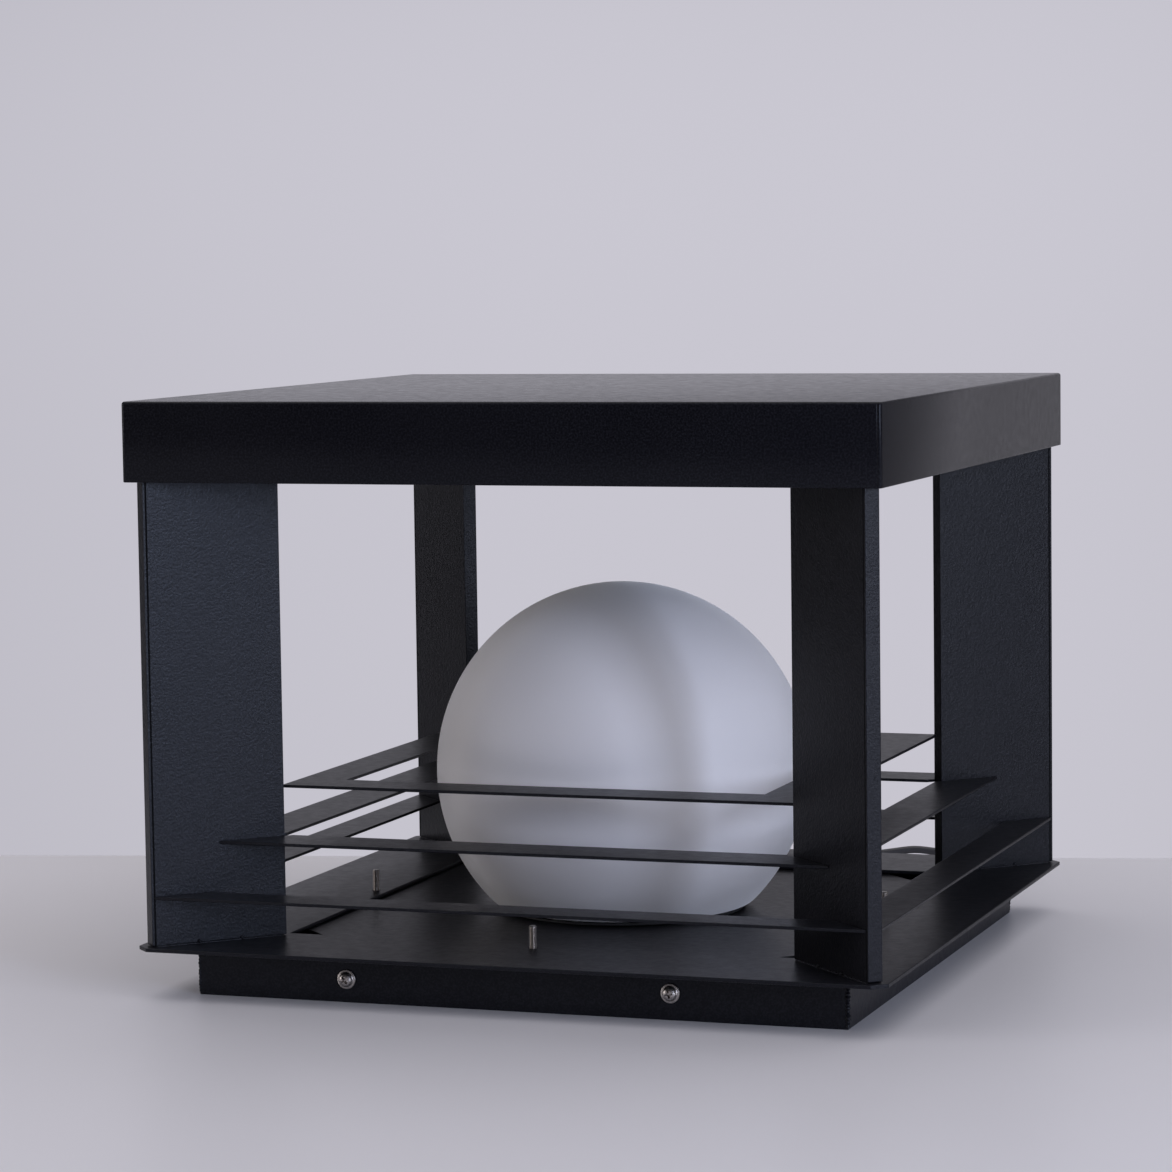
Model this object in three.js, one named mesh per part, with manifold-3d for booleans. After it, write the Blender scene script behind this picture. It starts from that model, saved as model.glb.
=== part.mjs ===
// Pillar-top lantern: a black sheet-metal cage with a lift-off lid and a frosted globe.
// Millimetres, +Z up, origin at the centre of the underside. The front faces -Y.
import * as THREE from 'three';
import { mergeVertices } from 'three/addons/utils/BufferGeometryUtils.js';
import Module from 'manifold-3d';

const wasm = await Module();
wasm.setup();

// ---------- driving dimensions ----------
const GAP = 0.3; // clearance kept between neighbouring pieces
const SHEET = 1.5; // lid, flange, skirt and bracket sheet
const THIN_SHEET = 1.2; // ring strips and floor plate

const LID_SIDE = 300;
const LID_TOP = 232;
const LID_DEPTH = 31;
const LID_BEND = 1.2; // outside bend radius of the lid's edges
const LID_CORNER = 0.8; // radius of its upright corners, inside that bend

const SKIRT_SIDE = 262;
const SKIRT_HEIGHT = 19;

const FLANGE_SIDE = 300;
const FLANGE_CLIP = 5.4; // 45 degree corner cut, along each side
const FLANGE_OPENING = 208;
const FLANGE_BOTTOM = SKIRT_HEIGHT + GAP;
const FLANGE_TOP = FLANGE_BOTTOM + SHEET;

const POST_INNER = 149.6; // distance of a post's inner edge from the middle, along the diagonal
const POST_OUTER = 205.2;
const POST_THICK = 6;
const SOCKET_SHEET = 1.2;
const POST_TOP = LID_TOP - SHEET - SOCKET_SHEET - 2 * GAP; // under the roof of the lid's sockets

const RING_PITCH = 19.7; // height from one ring to the next, starting at the flange
const UPPER_RING = { side: 211, width: 19.4, level: 3 };
const MIDDLE_RING = { side: 255, width: 21.8, level: 2 };
const LOWER_RING = { side: 293.6, width: 16.8, level: 1 };

const SOCKET_INNER = 158; // lid sockets, along the diagonal
const SOCKET_OUTER = 198;
const SOCKET_DEPTH = 22;

const PLATE_HALF = 118;
const PLATE_CORNER = 189; // |x| + |y| along the cut corners
const PLATE_TOP = FLANGE_BOTTOM - GAP;
const PLATE_BOTTOM = PLATE_TOP - THIN_SHEET;
const PLATE_WIRE_HOLE = 8;
const FLOOR_SCREW_REACH = 110; // from the middle to each floor screw
const M3_RADIUS = 1.5;
const M3_HOLE = 1.8;
const FLOOR_SCREW_LENGTH = 12;

const BRACKET_WIDTH = 180;
const BRACKET_HEIGHT = 15;
const ANCHOR_X = 60; // anchor holes in the mounting bracket
const ANCHOR_Y = 80;
const ANCHOR_RADIUS = 4.5;
const WIRE_WAY_RADIUS = 15;
const FRONT_SCREWS = [[-68.7, 9.1], [62.2, 10.3]]; // [x, z] on each face of the skirt
const BACK_SCREWS = [[-65.5, 9.5], [65.5, 9.5]];
const SIDE_SCREW_LENGTH = 8;
const WASHER_RADIUS = 3.75; // washer head of a side screw
const PAN_HEAD_RADIUS = 2.75;

const GLOBE_RADIUS = 76;
const GLOBE_WALL = 2.5;
const GLOBE_CENTRE = 76.4;
const GASKET = { inner: 48.4, outer: 52, thick: 1 };
const GLOBE_FOOT = PLATE_TOP + GAP + GASKET.thick + GAP;
const CLIP_COUNT = 3;
const CLIP_WIDTH = 8;
const CLIP_SHEET = 0.8;

const HOLDER_FOOT = PLATE_TOP + GAP;
const HOLDER_TOP = 56;
const HOLDER_FLANGE = { radius: 26, thick: 2.5 };
const HOLDER_BORE = 15;
const HOLDER_FLOOR = 27; // bottom of the holder's bore
const HOLDER_SCREW_REACH = 22.9;
const HOLDER_SCREW_LENGTH = 2.6;
const BULB_RADIUS = 22.5;
const BULB_SPLIT = 78; // where the housing ends and the diffuser begins

const SKIRT_BACK = SKIRT_SIDE / 2;
const GLAND_X = 100;
const GLAND_Z = 9.2;
const GLAND_HEX = 8.1;
const GLAND_HEX_THICK = 4;
const GLAND_SPIGOT = 5.9;
const GLAND_HOLE = 6.2;
const LOCKNUT_THICK = 3;
const BOOT_BORE = 2.05;
const CORD_RADIUS = 1.75;
const CORD_SIDES = 8;
const CORD_EXIT_Y = 156.3; // where the cord leaves the gland's boot
const CORE_RADIUS = 0.7;
const CORE_SPREAD = 0.9; // each bared core from the cord's middle
const CORE_LENGTH = 15;
const WIRE_RADIUS = 0.9;
const BLOCK = { x0: 52, x1: 82, y0: 34, y1: 48, z0: 7.4 };
const WIRE_Z = 12.4; // wires where they meet the terminal block
const COIL_X = -44;
const COIL_Y = 214;
const COIL_INNER = 12.3;
const COIL_OUTER = 26.2;
const COIL_BOTTOM = 0.9;
const COIL_TOP = COIL_BOTTOM + 4 * CORD_RADIUS; // two layers of turns
const TIE_SHEET = 0.6;
const TIE_WIDTH = 4;
const TIE_ANGLE = -Math.PI / 4;

// ---------- materials ----------
const finish = (color, roughness, metalness) =>
  new THREE.MeshStandardMaterial({ color, roughness, metalness });
const BLACK_COAT = [0x26272c, 0.55, 0.3];
const STEEL = [0xa8a6a2, 0.3, 1];
const FROSTED = [0xd9dbe4, 0.6, 0];
const WHITE_PLASTIC = [0xe6e5df, 0.5, 0];
const BLACK_PLASTIC = [0x141416, 0.5, 0];
const RUBBER = [0x1b1b1d, 0.8, 0];
const BRASS = [0xb9903f, 0.35, 1];
const NICKEL = [0xc9c6bd, 0.25, 1];
const ZINC = [0x9a9ca0, 0.4, 1];
const BROWN_CORE = [0x5a3420, 0.6, 0];
const BLUE_CORE = [0x21468c, 0.6, 0];

// ---------- geometry helpers ----------
const QUARTER = Math.PI / 2;
const DIAGONAL = Math.PI / 4;

function bareIndexed(geometry) {
  const bare = geometry.clone();
  bare.deleteAttribute('normal');
  bare.deleteAttribute('uv');
  return mergeVertices(bare, 1e-4);
}

// Signed volume tells which way the faces point.
function facesOut(geometry) {
  const bare = bareIndexed(geometry);
  const { array } = bare.attributes.position;
  const index = bare.index.array;
  const corners = [new THREE.Vector3(), new THREE.Vector3(), new THREE.Vector3()];
  let volume = 0;
  for (let i = 0; i < index.length; i += 3) {
    corners.forEach((corner, k) => corner.fromArray(array, index[i + k] * 3));
    volume += corners[0].dot(corners[1].clone().cross(corners[2])) / 6;
  }
  if (volume < 0) {
    for (let i = 0; i < index.length; i += 3) {
      [index[i + 1], index[i + 2]] = [index[i + 2], index[i + 1]];
    }
  }
  return bare;
}

function toSolid(geometry) {
  const bare = facesOut(geometry);
  return new wasm.Manifold(new wasm.Mesh({
    numProp: 3,
    vertProperties: new Float32Array(bare.attributes.position.array),
    triVerts: new Uint32Array(bare.index.array),
  }));
}

function toGeometry(solid) {
  const mesh = solid.getMesh();
  const geometry = new THREE.BufferGeometry();
  geometry.setAttribute('position', new THREE.BufferAttribute(mesh.vertProperties, 3));
  geometry.setIndex(new THREE.BufferAttribute(mesh.triVerts, 1));
  return geometry;
}

function cut(geometry, ...tools) {
  const solid = tools.reduce((rest, tool) => rest.subtract(toSolid(tool)), toSolid(geometry));
  return toGeometry(solid);
}

function join(geometry, ...extras) {
  const solid = extras.reduce((rest, extra) => rest.add(toSolid(extra)), toSolid(geometry));
  return toGeometry(solid);
}

// A block given by its lowest and highest corners.
function block([x0, y0, z0], [x1, y1, z1]) {
  const geometry = new THREE.BoxGeometry(x1 - x0, y1 - y0, z1 - z0);
  return geometry.translate((x0 + x1) / 2, (y0 + y1) / 2, (z0 + z1) / 2);
}

function uprightRod(radius, x, y, z0, z1, sides = 16) {
  const geometry = new THREE.CylinderGeometry(radius, radius, z1 - z0, sides);
  return geometry.rotateX(QUARTER).translate(x, y, (z0 + z1) / 2);
}

// A rod along Y.
function levelRod(radius, x, z, y0, y1, sides = 16) {
  const geometry = new THREE.CylinderGeometry(radius, radius, y1 - y0, sides);
  return geometry.translate(x, (y0 + y1) / 2, z);
}

// A turned piece about Z from [radius, height] points.
function turned(profile, sides = 24) {
  const points = profile.map(([radius, height]) => new THREE.Vector2(radius, height));
  return facesOut(new THREE.LatheGeometry(points, sides).rotateX(QUARTER));
}

const loop = (profile) => [...profile, profile[0]];

function outline(points) {
  return new THREE.Shape(points.map(([x, y]) => new THREE.Vector2(x, y)));
}

// A flat sheet from z0 upwards.
function sheet(shape, z0, thickness) {
  const settings = { depth: thickness, bevelEnabled: false, curveSegments: 5 };
  return new THREE.ExtrudeGeometry(shape, settings).translate(0, 0, z0);
}

const squarePoints = (half) => [[-half, -half], [half, -half], [half, half], [-half, half]];

// A square with its corners cut off, so that |x| + |y| stays within reach.
function clippedSquare(half, reach) {
  const short = reach - half;
  return outline([[-short, -half], [short, -half], [half, -short], [half, short],
    [short, half], [-short, half], [-half, short], [-half, -short]]);
}

function squareHole(half) {
  return new THREE.Path(squarePoints(half).map(([x, y]) => new THREE.Vector2(x, y)));
}

function roundHole(x, y, radius) {
  return new THREE.Path().absarc(x, y, radius, 0, 2 * Math.PI);
}

function roundedSquare(half, radius) {
  const inner = half - radius;
  const shape = new THREE.Shape();
  shape.absarc(inner, inner, radius, 0, QUARTER);
  shape.absarc(-inner, inner, radius, QUARTER, 2 * QUARTER);
  shape.absarc(-inner, -inner, radius, 2 * QUARTER, 3 * QUARTER);
  shape.absarc(inner, -inner, radius, 3 * QUARTER, 4 * QUARTER);
  return shape;
}

// A round section carried along a route of [x, y, z] points.
function tube(route, radius, sides, steps) {
  const section = new THREE.Shape();
  for (let i = 0; i < sides; i += 1) {
    const angle = (2 * Math.PI * i) / sides;
    const point = [radius * Math.cos(angle), radius * Math.sin(angle)];
    if (i === 0) section.moveTo(...point);
    else section.lineTo(...point);
  }
  const curve = new THREE.CatmullRomCurve3(route.map((p) => new THREE.Vector3(...p)));
  return new THREE.ExtrudeGeometry(section, { steps, extrudePath: curve, bevelEnabled: false });
}

// ---------- assembly ----------
const lantern = new THREE.Group();

function add(parent, name, geometry, material) {
  const mesh = new THREE.Mesh(geometry, finish(...material));
  mesh.name = name;
  parent.add(mesh);
  return mesh;
}

function turnedGroup(angle) {
  const group = new THREE.Group();
  group.rotation.z = angle;
  lantern.add(group);
  return group;
}

const SIDES = ['front', 'right', 'back', 'left'];
const CORNERS = ['front_right', 'back_right', 'back_left', 'front_left'];

// Lid: a folded tray, open underneath.
function lidShell() {
  const outer = new THREE.ExtrudeGeometry(roundedSquare(LID_SIDE / 2 - LID_BEND, LID_CORNER), {
    depth: LID_DEPTH,
    bevelThickness: LID_BEND,
    bevelSize: LID_BEND,
    bevelSegments: 2,
    curveSegments: 2,
  }).translate(0, 0, LID_TOP - LID_DEPTH - LID_BEND);
  const far = LID_SIDE;
  const brim = LID_TOP - LID_DEPTH;
  const below = block([-far, -far, brim - 2 * LID_BEND], [far, far, brim]);
  const inner = LID_SIDE / 2 - SHEET;
  const hollow = block([-inner, -inner, brim - 1], [inner, inner, LID_TOP - SHEET]);
  return cut(outer, below, hollow);
}

// Lid socket: an upside-down channel that a post's top slides into.
function lidSocket() {
  const top = LID_TOP - SHEET - GAP;
  const slot = POST_THICK / 2 + GAP;
  const half = slot + SOCKET_SHEET;
  const body = block([SOCKET_INNER, -half, top - SOCKET_DEPTH], [SOCKET_OUTER, half, top]);
  const slotTop = top - SOCKET_SHEET;
  return cut(body, block(
    [SOCKET_INNER - 1, -slot, top - SOCKET_DEPTH - 1],
    [SOCKET_OUTER + 1, slot, slotTop],
  ));
}

function post() {
  const half = POST_THICK / 2;
  return block([POST_INNER, -half, FLANGE_TOP + GAP], [POST_OUTER, half, POST_TOP]);
}

// Upper ring: one square frame, held by the posts' inner edges.
function upperRing() {
  const { side, width, level } = UPPER_RING;
  const shape = outline(squarePoints(side / 2));
  shape.holes.push(squareHole(side / 2 - width));
  return sheet(shape, FLANGE_TOP + level * RING_PITCH - THIN_SHEET, THIN_SHEET);
}

// One side of a lower ring: a strip whose ends are cut along the posts' faces.
function ringStrip({ side, width, level }) {
  const outer = side / 2;
  const inner = outer - width;
  const back = (POST_THICK / 2 + GAP) * Math.SQRT2;
  const shape = outline([
    [-outer + back, -outer], [outer - back, -outer], [inner - back, -inner], [-inner + back, -inner],
  ]);
  return sheet(shape, FLANGE_TOP + level * RING_PITCH - THIN_SHEET, THIN_SHEET);
}

const floorScrewPlaces = SIDES.map((side, i) => {
  const angle = -QUARTER + i * QUARTER;
  return [side, FLOOR_SCREW_REACH * Math.cos(angle), FLOOR_SCREW_REACH * Math.sin(angle)];
});

function flange() {
  const half = FLANGE_SIDE / 2;
  const shape = clippedSquare(half, 2 * half - FLANGE_CLIP);
  shape.holes.push(squareHole(FLANGE_OPENING / 2));
  floorScrewPlaces.forEach(([, x, y]) => shape.holes.push(roundHole(x, y, M3_HOLE)));
  return sheet(shape, FLANGE_BOTTOM, SHEET);
}

function skirt() {
  const shape = outline(squarePoints(SKIRT_BACK));
  shape.holes.push(squareHole(SKIRT_BACK - SHEET));
  const past = SKIRT_BACK + 1;
  const near = SKIRT_BACK - 2 * SHEET;
  const holes = [
    ...FRONT_SCREWS.map(([x, z]) => levelRod(M3_HOLE, x, z, -past, -near)),
    ...BACK_SCREWS.map(([x, z]) => levelRod(M3_HOLE, x, z, near, past)),
    levelRod(GLAND_HOLE, GLAND_X, GLAND_Z, near, past),
  ];
  return cut(sheet(shape, 0, SKIRT_HEIGHT), ...holes);
}

// Mounting bracket: fixed to the pillar, with turned-up ends that take the side screws.
function mountingBracket() {
  const half = BRACKET_WIDTH / 2;
  const reach = SKIRT_BACK - SHEET - GAP;
  const inside = reach - SHEET;
  const body = block([-half, -reach, 0], [half, reach, BRACKET_HEIGHT]);
  const hollow = block([-half - 1, -inside, SHEET], [half + 1, inside, BRACKET_HEIGHT + 1]);
  const anchors = [];
  for (const x of [-ANCHOR_X, ANCHOR_X]) {
    for (const y of [-ANCHOR_Y, ANCHOR_Y]) {
      anchors.push(uprightRod(ANCHOR_RADIUS, x, y, -1, SHEET + 1));
    }
  }
  const wireWay = uprightRod(WIRE_WAY_RADIUS, 0, 0, -1, SHEET + 1, 24);
  const screwHoles = [
    ...FRONT_SCREWS.map(([x, z]) => levelRod(M3_HOLE, x, z, -reach - 1, -inside + 1)),
    ...BACK_SCREWS.map(([x, z]) => levelRod(M3_HOLE, x, z, inside - 1, reach + 1)),
  ];
  return cut(body, hollow, wireWay, ...anchors, ...screwHoles);
}

// A screw stands along its own Z: the head's seat is at zero and the shank runs down.
const shank = (length) => [
  [0, -length], [M3_RADIUS - 0.3, -length], [M3_RADIUS, -length + 0.4], [M3_RADIUS, 0],
];

function washerHeadScrew(length) {
  const head = [[WASHER_RADIUS, 0], [WASHER_RADIUS, 0.5], [2.8, 0.8], [2.6, 1.5], [1.8, 2.3], [0, 2.6]];
  return turned([...shank(length), ...head], 16);
}

function panHeadScrew(length) {
  const head = [[PAN_HEAD_RADIUS, 0], [PAN_HEAD_RADIUS, 0.9], [2.1, 1.8], [0, 2]];
  return turned([...shank(length), ...head], 12);
}

function addSideScrews() {
  const places = [
    ...FRONT_SCREWS.map(([x, z], i) => [`side_screw_front_${i + 1}`, x, z, -1]),
    ...BACK_SCREWS.map(([x, z], i) => [`side_screw_back_${i + 1}`, x, z, 1]),
  ];
  for (const [name, x, z, outward] of places) {
    const screw = add(lantern, name, washerHeadScrew(SIDE_SCREW_LENGTH), STEEL);
    screw.rotation.x = -outward * QUARTER;
    screw.position.set(x, outward * (SKIRT_BACK + GAP), z);
  }
}

function floorPlate() {
  const shape = clippedSquare(PLATE_HALF, PLATE_CORNER);
  floorScrewPlaces.forEach(([, x, y]) => shape.holes.push(roundHole(x, y, M3_HOLE)));
  shape.holes.push(roundHole(0, 0, PLATE_WIRE_HOLE));
  return sheet(shape, PLATE_BOTTOM, THIN_SHEET);
}

function addFloorScrews() {
  for (const [side, x, y] of floorScrewPlaces) {
    const screw = add(lantern, `floor_screw_${side}`, panHeadScrew(FLOOR_SCREW_LENGTH), STEEL);
    screw.rotation.x = Math.PI;
    screw.position.set(x, y, PLATE_BOTTOM - GAP);
  }
}

// A hollow dome, open underneath, from its inner and outer half-outlines.
function dome(innerHalf, outerHalf, sides) {
  innerHalf[innerHalf.length - 1][0] = 0;
  outerHalf[outerHalf.length - 1][0] = 0;
  return turned([...innerHalf.reverse(), ...outerHalf], sides);
}

// Points on an ellipse about (0, centre), from the angle `from` up to the axis.
function archPoints(radius, height, centre, from, count) {
  const points = [];
  for (let i = 0; i <= count; i += 1) {
    const angle = from + ((QUARTER - from) * i) / count;
    points.push([radius * Math.cos(angle), centre + height * Math.sin(angle)]);
  }
  return points;
}

// Globe: a hollow sphere cut flat at its foot.
function globe() {
  const half = (radius, count) => {
    const from = Math.asin((GLOBE_FOOT - GLOBE_CENTRE) / radius);
    return archPoints(radius, radius, GLOBE_CENTRE, from, count);
  };
  return dome(half(GLOBE_RADIUS - GLOBE_WALL, 9), half(GLOBE_RADIUS, 12), 36);
}

function gasket() {
  const { inner, outer, thick } = GASKET;
  const z0 = PLATE_TOP + GAP;
  const z1 = z0 + thick;
  return turned(loop([[inner, z0], [outer, z0], [outer, z1], [inner, z1]]), 36);
}

// Spring clip: a foot on the floor plate and a bowed leg inside the globe's neck.
function globeClip() {
  const z0 = PLATE_TOP + GAP;
  const outside = [[33, z0], [45.6, z0], [47.6, z0 + 7], [44.6, z0 + 20]];
  const inside = [
    [44.6 - CLIP_SHEET, z0 + 20], [47.6 - CLIP_SHEET, z0 + 7], [45, z0 + CLIP_SHEET], [33, z0 + CLIP_SHEET],
  ];
  const shape = outline([...outside, ...inside]);
  const geometry = new THREE.ExtrudeGeometry(shape, { depth: CLIP_WIDTH, bevelEnabled: false });
  return geometry.translate(0, 0, -CLIP_WIDTH / 2).rotateX(QUARTER);
}

function lampholder() {
  const z0 = HOLDER_FOOT;
  const { radius, thick } = HOLDER_FLANGE;
  const wireHole = 5;
  const body = turned(loop([
    [wireHole, z0], [radius, z0], [radius, z0 + thick], [20, z0 + thick + 1], [19, HOLDER_TOP - 1.5],
    [18, HOLDER_TOP], [HOLDER_BORE, HOLDER_TOP], [HOLDER_BORE, HOLDER_FLOOR], [wireHole, HOLDER_FLOOR],
  ]));
  const screwHole = (sign) => uprightRod(M3_HOLE, sign * HOLDER_SCREW_REACH, 0, z0 - 1, z0 + 2 * thick);
  return cut(body, screwHole(-1), screwHole(1));
}

// The holder's metal thread and centre contact stand clear of its bore.
function addHolderContacts() {
  const z0 = HOLDER_FLOOR + 2;
  const z1 = HOLDER_TOP - 2;
  const thread = loop([[13.7, z0], [14.6, z0], [14.6, z1], [13.7, z1]]);
  add(lantern, 'lampholder_thread', turned(thread), BRASS);
  const contact = uprightRod(9, 0, 0, HOLDER_FLOOR + GAP, HOLDER_FLOOR + GAP + 1, 24);
  add(lantern, 'lampholder_contact', contact, BRASS);
}

function addHolderScrews() {
  for (const [side, sign] of [['left', -1], ['right', 1]]) {
    const screw = add(lantern, `holder_screw_${side}`, panHeadScrew(HOLDER_SCREW_LENGTH), STEEL);
    screw.position.set(sign * HOLDER_SCREW_REACH, 0, HOLDER_FOOT + HOLDER_FLANGE.thick + 1);
  }
}

function addBulb() {
  const tipFoot = HOLDER_FLOOR + 1.9;
  const capFoot = tipFoot + 1.8 + GAP;
  const capTop = HOLDER_TOP - 2;
  const boardFoot = BULB_SPLIT + GAP;
  const boardTop = boardFoot + 1.6;
  const parts = [
    ['bulb_tip', [[0, tipFoot], [4.5, tipFoot], [9, tipFoot + 1.8], [0, tipFoot + 1.8]], BLACK_PLASTIC],
    ['bulb_cap', [[0, capFoot], [9, capFoot], [13.1, capFoot + 3], [13.1, capTop], [0, capTop]], NICKEL],
    ['bulb_housing', [
      [0, capTop + GAP], [13.6, capTop + GAP], [15.5, capTop + 6], [20.5, capTop + 16],
      [BULB_RADIUS, BULB_SPLIT], [0, BULB_SPLIT],
    ], WHITE_PLASTIC],
    ['bulb_led_board', [[0, boardFoot], [18, boardFoot], [18, boardTop], [0, boardTop]], WHITE_PLASTIC],
  ];
  parts.forEach(([name, profile, material]) => add(lantern, name, turned(profile), material));
  const wall = 1.4;
  const height = 30;
  const inner = archPoints(BULB_RADIUS - wall, height - wall, boardFoot, 0, 5);
  const outer = archPoints(BULB_RADIUS, height, boardFoot, 0, 6);
  add(lantern, 'bulb_diffuser', dome(inner, outer), FROSTED);
}

// The gland's pieces lie along Y, through the back of the skirt.
function glandBody() {
  const seat = SKIRT_BACK + GAP;
  const hex = levelRod(GLAND_HEX, GLAND_X, GLAND_Z, seat, seat + GLAND_HEX_THICK, 6);
  const spigot = levelRod(GLAND_SPIGOT, GLAND_X, GLAND_Z, seat - 7.3, seat + 1);
  const bore = levelRod(CORD_RADIUS + 0.45, GLAND_X, GLAND_Z, seat - 10, seat + 10);
  return cut(join(hex, spigot), bore);
}

function glandNut() {
  const seat = SKIRT_BACK - SHEET - GAP;
  const hex = levelRod(GLAND_HEX, GLAND_X, GLAND_Z, seat - LOCKNUT_THICK, seat, 6);
  return cut(hex, levelRod(GLAND_HOLE, GLAND_X, GLAND_Z, seat - 10, seat + 10));
}

function glandBoot() {
  const y0 = SKIRT_BACK + 2 * GAP + GLAND_HEX_THICK;
  const y1 = CORD_EXIT_Y - GAP;
  const profile = [[BOOT_BORE, y0], [6.2, y0], [6.2, y0 + 4], [5.4, y0 + 5], [2.9, y1], [BOOT_BORE, y1]];
  return turned(loop(profile), 16).rotateX(-QUARTER).translate(GLAND_X, 0, GLAND_Z);
}

// Lead inside the base: from the gland to the terminal block.
const INNER_ROUTE = [
  [100, 123.6, GLAND_Z], [100, 118, GLAND_Z], [98, 106, 9.6], [90, 86, 10.6], [78, 66, 11.8],
  [74, 54, WIRE_Z], [74, BLOCK.y1 + 0.6, WIRE_Z],
];

// Wires from the terminal block up through the floor plate into the lampholder.
const lampWireRoute = (sign) => {
  const x = (BLOCK.x0 + BLOCK.x1) / 2 + sign * 6;
  return [
    [x, BLOCK.y0 - 0.5, WIRE_Z], [x, BLOCK.y0 - 2.5, WIRE_Z], [x - 5, 25, 12],
    [40 + sign * 2, 14 - sign * 2, 12], [16, 4 - sign * 3, 12], [6, -sign * 2.4, 13.2],
    [2.2, -sign * 2.4, 17.5], [1.6, -sign * 2.4, HOLDER_FLOOR - 0.6],
  ];
};
const CORES = [['neutral', -1, BLUE_CORE], ['live', 1, BROWN_CORE]];

function addInnerWiring() {
  const { x0, x1, y0, y1, z0 } = BLOCK;
  const body = block([x0, y0, z0], [x1, y1, PLATE_BOTTOM - GAP]);
  add(lantern, 'terminal_block', body, WHITE_PLASTIC);
  add(lantern, 'inner_cable', tube(INNER_ROUTE, CORD_RADIUS, CORD_SIDES, 14), RUBBER);
  for (const [core, sign, material] of CORES) {
    const wire = tube(lampWireRoute(sign), WIRE_RADIUS, 8, 18);
    add(lantern, `lamp_wire_${core}`, wire, material);
  }
}

// Free cord: from the gland boot, along the surface behind the lantern, to the coil.
const CORD_ROUTE = [
  [100, CORD_EXIT_Y, GLAND_Z], [100, 161, 9.1], [100, 166.5, 8.4], [100, 173, 6.8],
  [100, 180, 4.6], [100, 187, 2.7], [100, 195, 1.9], [100.5, 205, 1.8], [101, 216, 1.8],
  [100.5, 228, 1.8], [98, 239, 1.8], [93, 248, 1.9], [86, 255, 2.3], [77, 259.8, 3],
  [66, 262.2, 3.9], [55, 262.2, 4.6], [44.5, 259.4, 3.4], [33, 255.2, 2.1], [20, 251, 1.8],
  [5, 246.5, 1.8], [-10, 241.6, 1.8], [-20, 239.6, 2], [-29.5, 238.6, 2.3],
];
// Cord tail: from the coil to its bared cores.
const TAIL_ROUTE = [
  [-71.9, 207.4, 3], [-73.4, 202, 2], [-75, 194, 1.8], [-76, 184, 1.8],
];

// Coil: the outer shape of the wound length.
function cordCoil() {
  return turned(loop([
    [COIL_INNER, COIL_BOTTOM], [COIL_OUTER, COIL_BOTTOM], [COIL_OUTER, COIL_TOP], [COIL_INNER, COIL_TOP],
  ]), 32);
}

// Tie: a thin band round the coil's turns.
function cordTie() {
  const clear = GAP + TIE_SHEET;
  const half = TIE_WIDTH / 2;
  const band = block([COIL_INNER - clear, -half, 0], [COIL_OUTER + clear, half, COIL_TOP + clear]);
  return cut(band, block(
    [COIL_INNER - GAP, -half - 1, COIL_BOTTOM - GAP],
    [COIL_OUTER + GAP, half + 1, COIL_TOP + GAP],
  ));
}

function addCord() {
  add(lantern, 'supply_cord', tube(CORD_ROUTE, CORD_RADIUS, CORD_SIDES, 40), RUBBER);
  add(lantern, 'cord_coil', cordCoil(), RUBBER).position.set(COIL_X, COIL_Y, 0);
  const tie = add(lantern, 'cord_tie', cordTie(), RUBBER);
  tie.position.set(COIL_X, COIL_Y, 0);
  tie.rotation.z = TIE_ANGLE;
  add(lantern, 'cord_tail', tube(TAIL_ROUTE, CORD_RADIUS, CORD_SIDES, 6), RUBBER);
  const [x, y, z] = TAIL_ROUTE[TAIL_ROUTE.length - 1];
  for (const [core, sign, material] of CORES) {
    const rod = levelRod(CORE_RADIUS, x + sign * CORE_SPREAD, z, y - CORE_LENGTH, y - GAP, 8);
    add(lantern, `cord_core_${core}`, rod, material);
  }
}

// ---------- placing ----------
add(lantern, 'lid_shell', lidShell(), BLACK_COAT);
CORNERS.forEach((corner, i) => {
  const group = turnedGroup(-DIAGONAL + i * QUARTER);
  add(group, `post_${corner}`, post(), BLACK_COAT);
  add(group, `lid_socket_${corner}`, lidSocket(), ZINC);
});
add(lantern, 'ring_upper', upperRing(), BLACK_COAT);
SIDES.forEach((side, i) => {
  const group = turnedGroup(i * QUARTER);
  add(group, `ring_middle_${side}`, ringStrip(MIDDLE_RING), BLACK_COAT);
  add(group, `ring_lower_${side}`, ringStrip(LOWER_RING), BLACK_COAT);
});
add(lantern, 'base_flange', flange(), BLACK_COAT);
add(lantern, 'skirt', skirt(), BLACK_COAT);
add(lantern, 'mounting_bracket', mountingBracket(), ZINC);
addSideScrews();
add(lantern, 'floor_plate', floorPlate(), BLACK_COAT);
addFloorScrews();

add(lantern, 'globe', globe(), FROSTED);
add(lantern, 'globe_gasket', gasket(), RUBBER);
for (let i = 0; i < CLIP_COUNT; i += 1) {
  const group = turnedGroup(QUARTER + (2 * Math.PI * i) / CLIP_COUNT);
  add(group, `globe_clip_${i + 1}`, globeClip(), STEEL);
}

add(lantern, 'lampholder_body', lampholder(), BLACK_PLASTIC);
addHolderContacts();
addHolderScrews();
addBulb();
addInnerWiring();

add(lantern, 'gland_body', glandBody(), BLACK_PLASTIC);
add(lantern, 'gland_locknut', glandNut(), BLACK_PLASTIC);
add(lantern, 'gland_boot', glandBoot(), RUBBER);
addCord();

export default lantern;
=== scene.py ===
"""Looks of the pillar-top lantern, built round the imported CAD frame. Metres, +Z up, front at -Y."""
import math

import bmesh
import bpy
from mathutils import Matrix, Vector


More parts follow.
